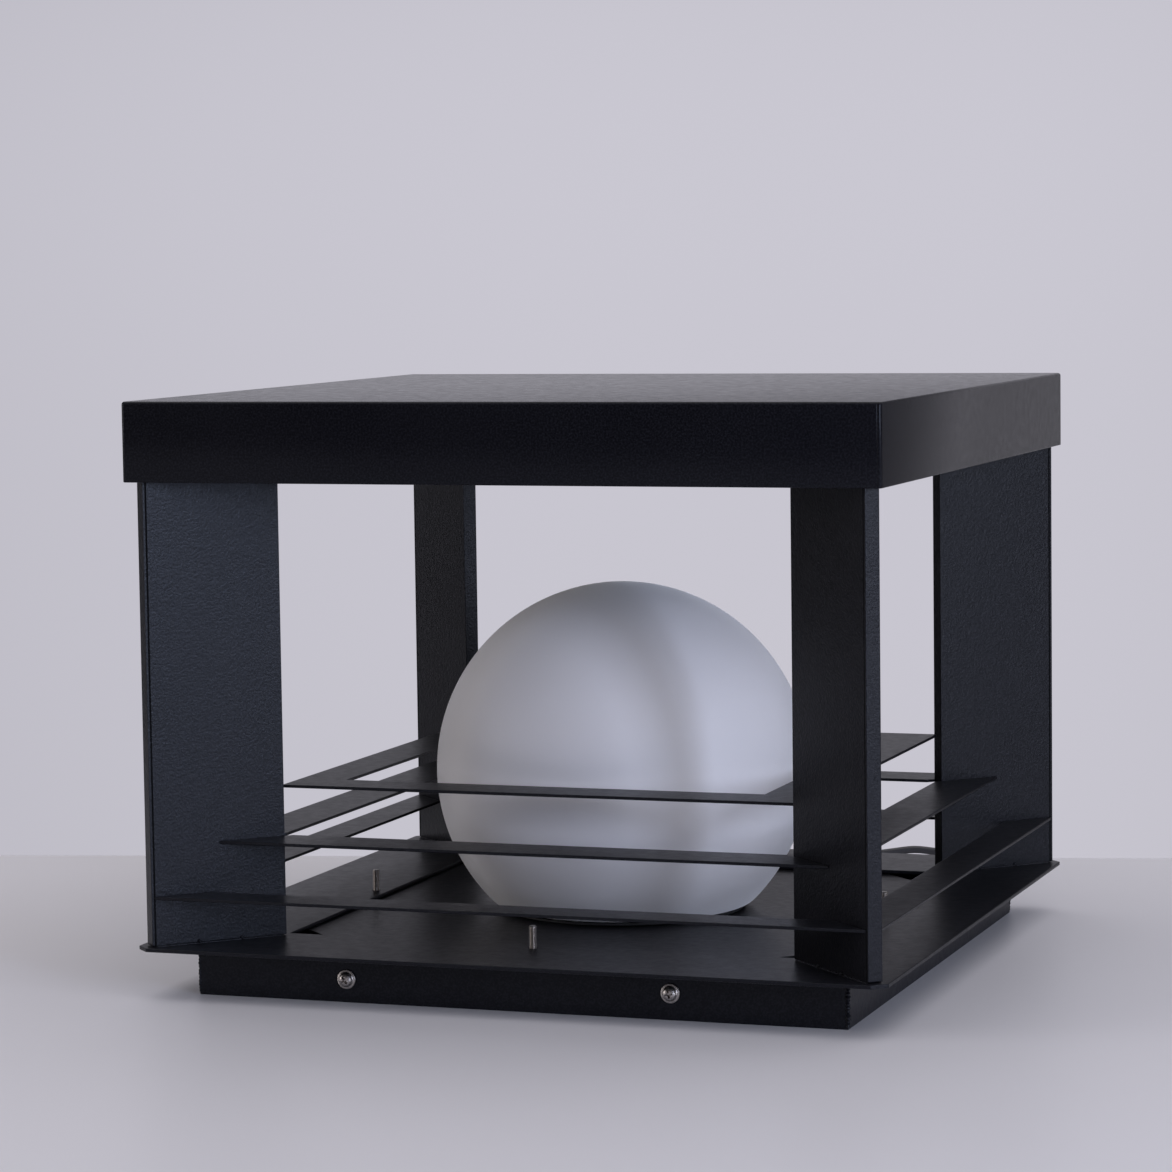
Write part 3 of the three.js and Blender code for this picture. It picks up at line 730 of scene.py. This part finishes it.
def add_welds():
    """Fillets where the posts stand on the flange, and the skirt's corner seams."""
    top = low_high("base_flange")[1].z
    for i, corner in enumerate(CORNERS):
        turn = Matrix.Rotation(-TAU / 8 + i * TAU / 4, 4, "Z")
        runs = []
        for side in (-1, 1):
            y = side * POST_HALF_THICK
            runs.append(bead((POST_INNER, y, top), (POST_OUTER, y, top), 0.55))
            for reach in TACKS:
                blob = lathe(arc(0.9, 0.8, 0, -TAU / 4, TAU / 4, 8), 14)
                runs.append(placed(blob, Matrix.Translation((reach, y, top + 0.7))))
        fillets = new_piece(f"post_weld_{corner}", placed(merged(*runs), turn), smooth=math.radians(60))
        settle(fillets, BLACK)
        reach = (SKIRT_HALF - 0.25) * math.sqrt(2)
        size = 0.85 if corner == "front_right" else 0.5
        seam = placed(bead((reach, 0, 0.8), (reach, 0, 18.6), size, ripple=0.3), turn)
        settle(new_piece(f"skirt_seam_{corner}", seam, smooth=math.radians(60)), BLACK)


# ---------- fasteners ----------
FLOOR_SCREW_SEAT, HOLDER_SCREW_SEAT = 17.5, 22.8


def screw(name, head, length, recess=1.95, turn=0.0):
    """An M3 screw with a cross recess, its head up and its seat at z 0."""
    pitch, radius, depth = 0.5, 1.5, 0.3
    rows = [(0, -length, 0, 1), (radius - 0.45, -length, 0, 1)]
    count = max(3, round((length - 0.5) / (pitch / 8)))
    for k in range(count + 1):
        height = -length + 0.35 + (length - 0.5) * k / count
        share = min(1.0, k / 6, (count - k) / 6)
        rows.append((radius - 0.04 * (1 - share), height, depth * share, pitch))
    rows += [(r, z, 0, 1) for r, z in rounded(head, 0.25, 3, closed=False)]
    piece = new_piece(name, threaded(rows), smooth=math.radians(32))
    top = max(z for _, z in head)
    for k in range(2):
        cutter = bmesh.new()
        wide, narrow, deep = recess, 0.4 * recess, 1.55
        thick_top, thick_low = 0.5, 0.28
        low = [(x * narrow, y * thick_low, top - deep) for x, y in ((-1, -1), (1, -1), (1, 1), (-1, 1))]
        high = [(x * wide, y * thick_top, top + 0.5) for x, y in ((-1, -1), (1, -1), (1, 1), (-1, 1))]
        skin(cutter, [[cutter.verts.new(p) for p in low], [cutter.verts.new(p) for p in high]])
        cutter.verts.ensure_lookup_table()
        cutter.faces.new(cutter.verts[:4])
        cutter.faces.new(cutter.verts[4:])
        spin = Matrix.Rotation(turn + k * TAU / 4, 4, "Z")
        carve(piece, new_piece("cutter", placed(cutter, spin)))
    piece.data.set_sharp_from_angle(angle=math.radians(32))
    return piece


def stand(piece, matrix):
    """Moves a piece's mesh, leaving the object at the origin. The matrix is in millimetres."""
    shift = matrix.copy()
    shift.translation = matrix.translation * MM
    piece.data.transform(shift)
    return piece


WASHER_HEAD = [
    (3.75, 0), (3.75, 0.5), (3.0, 0.62), (2.72, 0.9),
    (2.6, 1.5), (2.2, 2.05), (1.4, 2.45), (0, 2.6),
]
PAN_HEAD = [(2.75, 0), (2.75, 0.9), (2.45, 1.5), (1.7, 1.88), (0, 2)]


def add_screws():
    turns = {"front_1": 0.66, "front_2": 0.2, "back_1": 1.1, "back_2": 0.5}
    for name, turn in turns.items():
        node = f"side_screw_{name}"
        low, high = low_high(node)
        outward = -1 if name.startswith("front") else 1
        seat = outward * SKIRT_FACE
        lay = Matrix.Rotation(-outward * TAU / 4, 4, "X")
        place = Matrix.Translation(((low.x + high.x) / 2, seat, (low.z + high.z) / 2))
        piece = stand(screw(f"{node}_turned", WASHER_HEAD, 8, turn=turn), place @ lay)
        settle(piece, STEEL, stands_for=[node])
    for i, side in enumerate(SIDES):
        node = f"floor_screw_{side}"
        mid = middle(node)
        place = Matrix.Translation((mid.x, mid.y, FLOOR_SCREW_SEAT)) @ Matrix.Rotation(TAU / 2, 4, "X")
        piece = stand(screw(f"{node}_turned", PAN_HEAD, 12, 1.4, 0.5 + 0.9 * i), place)
        settle(piece, STEEL, stands_for=[node])
    for side, sign in (("left", -1), ("right", 1)):
        node = f"holder_screw_{side}"
        mid = middle(node)
        place = Matrix.Translation((mid.x, mid.y, HOLDER_SCREW_SEAT))
        piece = stand(screw(f"{node}_turned", PAN_HEAD, 2.6, 1.4, 0.4 * sign), place)
        settle(piece, STEEL, stands_for=[node])


# ---------- globe and its seat ----------
def arc(radius, height, centre, start, end, count):
    """Points on an ellipse about (0, centre), angles measured up from level."""
    points = []
    for i in range(count + 1):
        angle = start + (end - start) * i / count
        points.append((max(0.0, radius * math.cos(angle)), centre + height * math.sin(angle)))
    return points


def add_globe():
    foot = low_high("globe")[0].z
    radius, wall, centre, fillet = 76, 2.5, 76.4, 8.5
    inner = radius - wall
    drop = centre - foot - fillet
    lean = math.asin(drop / (radius - fillet))
    reach = (radius - fillet) * math.cos(lean)
    inside = arc(inner, inner, centre, TAU / 4, math.asin((foot + 1.2 - centre) / inner), 56)
    turned = arc(fillet, fillet, foot + fillet, -TAU / 4, -lean, 10)
    turned = [(reach + x, z) for x, z in turned]
    outside = arc(radius, radius, centre, -lean, TAU / 4, 64)[1:]
    inside[0] = (0, centre + inner)
    outside[-1] = (0, centre + radius)
    rim = [(reach - 1.6, foot + 0.5), (reach - 0.9, foot)]
    profile = [*inside[:-1], *rim, *turned, *outside]
    globe = new_piece("globe_shell", lathe(profile, 144), smooth=math.radians(60))
    settle(globe, FROSTED, "globe", stands_for=["globe"])

    low, high = low_high("globe_gasket")
    profile = [(47.4, low.z), (49.6, low.z), (49.6, high.z), (49.1, high.z), (48.7, high.z - 0.3)]
    profile += [(48.2, high.z), (47.4, high.z)]
    gasket = new_piece("globe_gasket_ring", lathe(rounded(profile, 0.3), 120, closed=True))
    settle(gasket, RUBBER, stands_for=["globe_gasket"])


def ribbon(path, width, thick):
    """A flat spring along a path in the XZ plane, its width along Y, with rounded edges."""
    bm = bmesh.new()
    rings = []
    section = rounded([(-width / 2, -1), (width / 2, -1), (width / 2, 1), (-width / 2, 1)], 0.5, 3)
    for i, point in enumerate(path):
        ahead = (path[min(i + 1, len(path) - 1)] - path[max(i - 1, 0)]).normalized()
        out = Vector((-ahead.z, 0, ahead.x))
        rings.append([bm.verts.new(point + Vector((0, y, 0)) + out * (s * thick / 2)) for y, s in section])
    skin(bm, rings)
    cap(bm, rings)
    return bm


def add_clips():
    z0, sheet = 19.3 + 0.4, 0.8
    for i in range(3):
        route = [(33, 0, z0), (38, 0, z0), (43.6, 0, z0), (45.0, 0, z0 + 0.9), (45.6, 0, z0 + 2.6)]
        route += [(47.1, 0, z0 + 6.6), (46.6, 0, z0 + 10), (45.2, 0, z0 + 15.5), (44.3, 0, z0 + 19.2)]
        turn = Matrix.Rotation(TAU / 4 + TAU * i / 3, 4, "Z")
        clip = new_piece(f"clip_spring_{i + 1}", placed(ribbon(through(route, 0.5), 8, sheet), turn))
        settle(clip, STEEL, stands_for=[f"globe_clip_{i + 1}"])


# ---------- lampholder and bulb ----------
E27_PITCH = 3.63  # the lamp thread's rise in a turn


def add_lampholder():
    z0, thick, top = 19.3, 2.5, 56
    profile = [
        (5, z0), (26, z0), (26, z0 + thick), (20.4, z0 + thick), (20, z0 + thick + 1.2),
        (19.8, 27), (19.3, 27.4), (19.3, 28.4), (19.8, 28.8), (19.5, 40), (19, 40.4), (19, 41.4),
        (19.5, 41.8), (19.1, top - 1.8), (18, top), (15, top), (15, 27), (5, 27),
    ]
    body = new_piece("holder_body", lathe(rounded(profile, 0.5), 72, closed=True))
    for sign in (-1, 1):
        hole = placed(lathe([(0, z0 - 1), (1.8, z0 - 1), (1.8, z0 + 5), (0, z0 + 5)], 24),
                      Matrix.Translation((sign * 22.9, 0, 0)))
        carve(body, new_piece("cutter", hole))
    body.data.set_sharp_from_angle(angle=math.radians(35))
    settle(body, BLACK_PLASTIC, stands_for=["lampholder_body"])

    thread = helix_wall(14.5, 0.5, 0.35, 29, 54)
    settle(new_piece("holder_thread", thread), BRASS, stands_for=["lampholder_thread"])
    disc = [(0, 27.3), (9, 27.3), (9, 28.1), (7.5, 28.1), (4.5, 28.1), (3.6, 28.5), (0, 28.6)]
    contact = new_piece("holder_contact", lathe(rounded(disc, 0.3, closed=False), 48))
    settle(contact, BRASS, stands_for=["lampholder_contact"])


def helix_wall(radius, depth, wall, z0, z1, sides=64):
    """A thin round wall rolled into the lamp's screw thread; depth is the wave's height."""
    bm = bmesh.new()
    count = round((z1 - z0) / E27_PITCH * 14)

    def ring(height, inset):
        out = []
        for i in range(sides):
            angle = TAU * i / sides
            wave = 0.5 - 0.5 * math.cos(TAU * (height / E27_PITCH - i / sides))
            reach = radius - depth * wave - inset
            out.append(bm.verts.new((reach * math.cos(angle), reach * math.sin(angle), height)))
        return out

    heights = [z0 + (z1 - z0) * k / count for k in range(count + 1)]
    rings = [ring(h, 0.0) for h in heights] + [ring(h, wall) for h in reversed(heights)]
    skin(bm, rings, looped=True)
    return bm


def add_bulb():
    foot = low_high("bulb_tip")[0].z
    tip_profile = [(0, foot), (4.5, foot), (9, foot + 1.8), (0, foot + 1.8)]
    tip = new_piece("bulb_insulator", lathe(rounded(tip_profile, 0.4, closed=False), 48))
    settle(tip, BLACK_PLASTIC, "bulb", stands_for=["bulb_tip"])

    rows = [(0, 31, 0, 1), (9, 31, 0, 1), (11.8, 32.2, 0, 1), (12.6, 33.4, 0, 1)]
    turns, count = 4.6, 72
    for k in range(count + 1):
        share = min(1.0, k / 10, (count - k) / 10)
        rows.append((13.1, 34 + turns * E27_PITCH * k / count, 0.8 * share, E27_PITCH))
    rows += [(13.1, 53, 0, 1), (13.1, 54, 0, 1), (0, 54, 0, 1)]
    cap = new_piece("bulb_screw_cap", threaded(rows, 64), smooth=math.radians(40))
    settle(cap, NICKEL, "bulb", stands_for=["bulb_cap"])

    profile = [(0, 54.3), (13.6, 54.3), (14.2, 56), (15.6, 60.5), (18, 65.2), (20.6, 70.3), (22, 74.2)]
    profile += [(22.5, 76.6), (22.5, 77.6), (22.2, 78), (0, 78)]
    housing = new_piece("bulb_body", lathe(profile, 72))
    settle(housing, WHITE, "bulb", stands_for=["bulb_housing"])

    board = [lathe(rounded([(0, 78.3), (18, 78.3), (18, 79.4), (0, 79.4)], 0.15, closed=False), 60)]
    for k in range(12):
        angle = TAU * k / 12
        turn = Matrix.Translation((13 * math.cos(angle), 13 * math.sin(angle), 0))
        chip = stacked([(rounded_square(1.3, 0.2), 79.45), (rounded_square(1.3, 0.2), 79.9)])
        board.append(placed(chip, turn @ Matrix.Rotation(angle, 4, "Z")))
    leds = new_piece("bulb_board", merged(*board))
    settle(leds, WHITE, "bulb", stands_for=["bulb_led_board"])

    wall, height, centre = 1.4, 30, 78.3
    inside = arc(22.5 - wall, height - wall, centre, TAU / 4, 0, 24)
    outside = arc(22.5, height, centre, 0, TAU / 4, 28)
    inside[0] = (0, centre + height - wall)
    outside[-1] = (0, centre + height)
    cover = new_piece("bulb_cover", lathe([*inside, *outside], 96), smooth=math.radians(60))
    settle(cover, OPAL, "bulb", stands_for=["bulb_diffuser"])


# ---------- wiring in the base ----------
def round_tool(radius, start, end, sides=28):
    """A plain round cutter between two points."""
    start, end = Vector(start), Vector(end)
    bm = tube([start, (start + end) / 2, end], radius, sides)
    return new_piece("cutter", bm)


def add_terminal_block():
    """A strip connector of three ways: lobed underneath, with wire tunnels and clamp screws."""
    low, high = low_high("terminal_block")
    pitch = (high.x - low.x) / 3
    outline = [(low.x, high.z), (low.x, high.z - 4)]
    centres = []
    for way in range(3):
        x = low.x + pitch * (way + 0.5)
        centres.append(x)
        outline += [(x - 3.9, high.z - 4.6), (x - 3.4, low.z), (x + 3.4, low.z), (x + 3.9, high.z - 4.6)]
    outline += [(high.x, high.z - 4), (high.x, high.z)]
    profile = rounded(outline, 0.8)
    levels = []
    for y, inset in ((low.y, 0.35), (low.y + 0.35, 0), (high.y - 0.35, 0), (high.y, 0.35)):
        mid = Vector(((low.x + high.x) / 2, (low.z + high.z) / 2))
        scale_x = 1 - 2 * inset / (high.x - low.x)
        scale_z = 1 - 2 * inset / (high.z - low.z)
        levels.append([(mid.x + (x - mid.x) * scale_x, y, mid.y + (z - mid.y) * scale_z)
                       for x, z in profile])
    bm = bmesh.new()
    rings = [[bm.verts.new(p) for p in level] for level in levels]
    skin(bm, rings)
    cap(bm, rings)
    block = new_piece("connector_block", bm)
    for x in centres:
        carve(block, round_tool(1.9, (x, low.y - 2, 12.4), (x, high.y + 2, 12.4)))
        for y in (low.y + 3.6, high.y - 3.6):
            carve(block, round_tool(1.7, (x, y, low.z - 1), (x, y, 11.5)))
    block.data.set_sharp_from_angle(angle=math.radians(35))
    settle(block, WHITE, stands_for=["terminal_block"])
    slugs = []
    for x in centres:
        for y in (low.y + 3.6, high.y - 3.6):
            rod = rounded([(0, 8.6), (1.45, 8.6), (1.45, 11.2), (0, 11.2)], 0.2, closed=False)
            slugs.append(placed(lathe(rod, 20), Matrix.Translation((x, y, 0))))
    settle(new_piece("connector_screws", merged(*slugs)), BRASS)


def add_inner_wiring():
    inside_gland = [(GLAND_X, y, GLAND_Z) for y in (156.4, 148, 140, 130, 123.6, 118)]
    lead = (
        *inside_gland, (98, 106, 9.6), (90, 86, 10.6), (78, 66, 11.8), (74, 54, 12.4),
        (74, 48.6, 12.4),
    )
    cable = new_piece("base_lead", tube(through(lead, 1.5), CORD_RADIUS, 16))
    settle(cable, SHEATH, stands_for=["inner_cable"])
    for node, sign, finish, slot in (
        ("lamp_wire_neutral", -1, BLUE, "blue_core"), ("lamp_wire_live", 1, BROWN, "brown_core"),
    ):
        x = 67 + 6 * sign
        route = ((x, 33.5, 12.4), (x, 31.5, 12.4), (x - 5, 25, 12), (40 + 2 * sign, 14 - 2 * sign, 12),
                 (16, 4 - 3 * sign, 12), (6, -2.4 * sign, 13.2), (2.2, -2.4 * sign, 17.5),
                 (1.6, -2.4 * sign, 26.4))
        wire = new_piece(f"{node}_run", tube(through(route, 1.2), 0.9, 12))
        settle(wire, finish, stands_for=[node])


HEXAGON_EASE = 5 / 3  # the rounding of a hexagon's corners


def hexagon(reach):
    """A hexagon's outline by its corner radius, corners eased."""
    corners = [(reach * math.cos(TAU * k / 6), reach * math.sin(TAU * k / 6)) for k in range(6)]
    return rounded(corners, HEXAGON_EASE, 2)


def add_gland():
    """Cable gland through the back of the skirt: a hexagon with a threaded spigot, and a locknut."""
    lay = gland_axis()
    head = stacked([
        (hexagon(7.7), SKIRT_FACE),
        (hexagon(8.1), 131.7),
        (hexagon(8.1), 134.8),
        (hexagon(7.6), 135.3),
    ])
    body = new_piece("gland_hexagon", placed(head, lay))
    rows = [(0, 124, 0, 1), (5.5, 124, 0, 1)]
    for k in range(60):
        share = min(1.0, k / 6)
        rows.append((5.9, 124.2 + 7.6 * k / 59, 0.45 * share, 1.0))
    rows += [(5.4, 132.0, 0, 1), (0, 132.0, 0, 1)]
    carve(body, new_piece("cutter", placed(threaded(rows, 48), lay)), "UNION")
    carve(body, round_tool(2.2, (GLAND_X, 120, GLAND_Z), (GLAND_X, 140, GLAND_Z), 32))
    body.data.set_sharp_from_angle(angle=math.radians(32))
    settle(body, BLACK_PLASTIC, stands_for=["gland_body"])

    ring = stacked([
        (hexagon(7.7), 126.2),
        (hexagon(8.1), 126.6),
        (hexagon(8.1), 128.8),
        (hexagon(7.7), 129.2),
    ])
    nut = new_piece("gland_nut", placed(ring, lay))
    carve(nut, round_tool(6.05, (GLAND_X, 120, GLAND_Z), (GLAND_X, 135, GLAND_Z), 48))
    nut.data.set_sharp_from_angle(angle=math.radians(32))
    settle(nut, BLACK_PLASTIC, stands_for=["gland_locknut"])


add_sheet_metal()
add_lid()
add_welds()
add_screws()
add_globe()
add_clips()
add_lampholder()
add_bulb()
add_terminal_block()
add_inner_wiring()
add_gland()


# ---------- table, wall and lights, in metres ----------
TABLE_ANGLE = math.radians(13.4)
TABLE_BACK = Vector((-0.091, 0.232, 0))  # a point on the table's back edge
TABLE_HALF, TABLE_DEPTH, TABLE_THICK = 1.6, 1.1, 0.03
WALL_HALF, WALL_Y, WALL_THICK = 5, 3, 0.02
WALL_TOP, WALL_HEIGHT = 4, 6
WALL_COLOR = (0.578, 0.565, 0.631)
WALL_ACROSS = (  # brightness along X
    (-1.9, 0.92), (-1.3, 0.985), (-0.9, 1.0), (-0.3, 0.975), (0.3, 0.6), (1.1, 0.33), (2.0, 0.2),
)
WALL_UP = ((-0.6, 0.965), (0.0, 1.0), (0.6, 0.99), (1.0, 0.6), (2.0, 0.4))  # brightness along Z
ROOM_COLOR = (0.08, 0.078, 0.085)
CEILING_COLOR = (0.56, 0.545, 0.575)
CEILING_STARTS, CEILING_FULL = 0.15, 0.75  # upward part of a direction
LEFT_DARKEST, LEFT_FULL, LEFT_SHARE = -0.95, -0.3, 0.05  # sideways part of a direction
LIGHT_TARGET = Vector((0, 0, 0.1))
SOFTBOXES = (  # name, azimuth, elevation, distance, size, watts, colour
    ("key", 50.5, 11, 1.8, (0.3, 0.6), 10.4, (0.66, 0.75, 1.0)),
    ("right", 72, 12, 2.0, (0.42, 1.0), 7.8, (0.84, 0.87, 1.0)),
    ("left", -62, 10, 2.0, (0.8, 1.2), 9.5, (1.0, 0.96, 0.97)),
    ("top", 180, 82, 2.2, (3.6, 3.6), 30, (1.0, 0.975, 0.985)),
)


def slab(name, corners, thick, finish):
    """A flat board from its top corners in metres."""
    bm = bmesh.new()
    top = [bm.verts.new(c) for c in corners]
    bottom = [bm.verts.new((c[0], c[1], c[2] - thick)) for c in corners]
    skin(bm, [bottom, top])
    bm.faces.new(top)
    bm.faces.new(bottom)
    bmesh.ops.recalc_face_normals(bm, faces=bm.faces)
    mesh = bpy.data.meshes.new(name)
    bm.to_mesh(mesh)
    bm.free()
    mesh.materials.append(finish)
    board = bpy.data.objects.new(name, mesh)
    scene.collection.objects.link(board)
    return board


def table_finish():
    top = Finish("table_top", (0.66, 0.65, 0.68), 0.42)
    top.set(Specular_IOR_Level=0.3)
    top.tint(top.ramp(top.noise(3, 2), 0.35, 0.7, 0.0, 0.3), (0.64, 0.63, 0.66))
    top.rough(top.noise(6, 2), 0.03)
    top.bump(top.noise(700, 2), 0.00001)
    return top.material


def wall_finish():
    """A wall that shines by itself, as bright as its two curves say across and up."""
    material = bpy.data.materials.new("wall")
    material.use_nodes = True
    nodes, links = material.node_tree.nodes, material.node_tree.links
    nodes.clear()
    out = nodes.new("ShaderNodeOutputMaterial")
    glow = nodes.new("ShaderNodeEmission")
    glow.inputs["Color"].default_value = (*WALL_COLOR, 1)
    links.new(glow.outputs[0], out.inputs["Surface"])
    place = nodes.new("ShaderNodeSeparateXYZ")
    links.new(nodes.new("ShaderNodeTexCoord").outputs["Object"], place.inputs[0])
    strength = None
    for axis, stops in (("X", WALL_ACROSS), ("Z", WALL_UP)):
        curve = nodes.new("ShaderNodeFloatCurve")
        points = curve.mapping.curves[0].points
        spread = nodes.new("ShaderNodeMapRange")
        spread.inputs["From Min"].default_value = stops[0][0]
        spread.inputs["From Max"].default_value = stops[-1][0]
        links.new(place.outputs[axis], spread.inputs["Value"])
        for k, (where, level) in enumerate(stops):
            share = (where - stops[0][0]) / (stops[-1][0] - stops[0][0])
            if 0 < k < len(stops) - 1:
                points.new(share, level)
            else:
                points[0 if k == 0 else -1].location = (share, level)
        curve.mapping.update()
        links.new(spread.outputs["Result"], curve.inputs["Value"])
        if strength is None:
            strength = curve.outputs[0]
        else:
            both = nodes.new("ShaderNodeMath")
            both.operation = "MULTIPLY"
            links.new(strength, both.inputs[0])
            links.new(curve.outputs[0], both.inputs[1])
            links.new(both.outputs[0], glow.inputs["Strength"])
    return material


def add_softbox(name, azimuth, elevation, distance, size, power, color):
    """An area light facing the lantern; azimuth turns from the front to the right, in degrees."""
    data = bpy.data.lights.new(name, "AREA")
    data.shape = "RECTANGLE"
    data.size, data.size_y = size
    data.energy = power
    data.color = color
    light = bpy.data.objects.new(name, data)
    around, up = math.radians(azimuth), math.radians(elevation)
    heading = Vector((math.sin(around) * math.cos(up), -math.cos(around) * math.cos(up), math.sin(up)))
    light.location = LIGHT_TARGET + heading * distance
    light.rotation_euler = heading.to_track_quat("Z", "Y").to_euler()
    light.visible_camera = False
    scene.collection.objects.link(light)


def add_stage():
    along = Vector((math.cos(TABLE_ANGLE), math.sin(TABLE_ANGLE), 0))
    ahead = Vector((math.sin(TABLE_ANGLE), -math.cos(TABLE_ANGLE), 0))
    back_left, back_right = TABLE_BACK - along * TABLE_HALF, TABLE_BACK + along * TABLE_HALF
    corners = [back_left, back_left + ahead * TABLE_DEPTH, back_right + ahead * TABLE_DEPTH, back_right]
    table = slab("table", corners, TABLE_THICK, table_finish())
    top = [(-WALL_HALF, WALL_Y, WALL_TOP), (WALL_HALF, WALL_Y, WALL_TOP)]
    top += [(WALL_HALF, WALL_Y + WALL_THICK, WALL_TOP), (-WALL_HALF, WALL_Y + WALL_THICK, WALL_TOP)]
    wall = slab("wall", top, WALL_HEIGHT, wall_finish())


def add_world():
    """Soft light from above and less from the left; the camera sees the wall's colour."""
    world = bpy.data.worlds.new("world")
    world.use_nodes = True
    nodes, links = world.node_tree.nodes, world.node_tree.links
    back = nodes["Background"]
    rays = nodes.new("ShaderNodeLightPath")
    mix = nodes.new("ShaderNodeMix")
    mix.data_type = "RGBA"
    mix.inputs[MIX_B].default_value = (*WALL_COLOR, 1)
    apart = nodes.new("ShaderNodeSeparateXYZ")
    links.new(nodes.new("ShaderNodeTexCoord").outputs["Generated"], apart.inputs[0])
    rise = nodes.new("ShaderNodeMapRange")
    rise.inputs["From Min"].default_value = CEILING_STARTS
    rise.inputs["From Max"].default_value = CEILING_FULL
    links.new(apart.outputs["Z"], rise.inputs["Value"])
    around = nodes.new("ShaderNodeMix")
    around.data_type = "RGBA"
    around.inputs[MIX_A].default_value = (*ROOM_COLOR, 1)
    around.inputs[MIX_B].default_value = (*CEILING_COLOR, 1)
    links.new(rise.outputs["Result"], around.inputs["Factor"])
    side = nodes.new("ShaderNodeMapRange")
    side.inputs["From Min"].default_value = LEFT_DARKEST
    side.inputs["From Max"].default_value = LEFT_FULL
    side.inputs["To Min"].default_value = LEFT_SHARE
    links.new(apart.outputs["X"], side.inputs["Value"])
    dark = nodes.new("ShaderNodeVectorMath")
    dark.operation = "SCALE"
    links.new(around.outputs[MIX_RESULT], dark.inputs[0])
    links.new(side.outputs["Result"], dark.inputs["Scale"])
    links.new(dark.outputs[0], mix.inputs[MIX_A])
    links.new(rays.outputs["Is Camera Ray"], mix.inputs["Factor"])
    links.new(mix.outputs[MIX_RESULT], back.inputs["Color"])
    scene.world = world


add_stage()
for softbox_values in SOFTBOXES:
    add_softbox(*softbox_values)
add_world()
scene.view_settings.view_transform = "Standard"
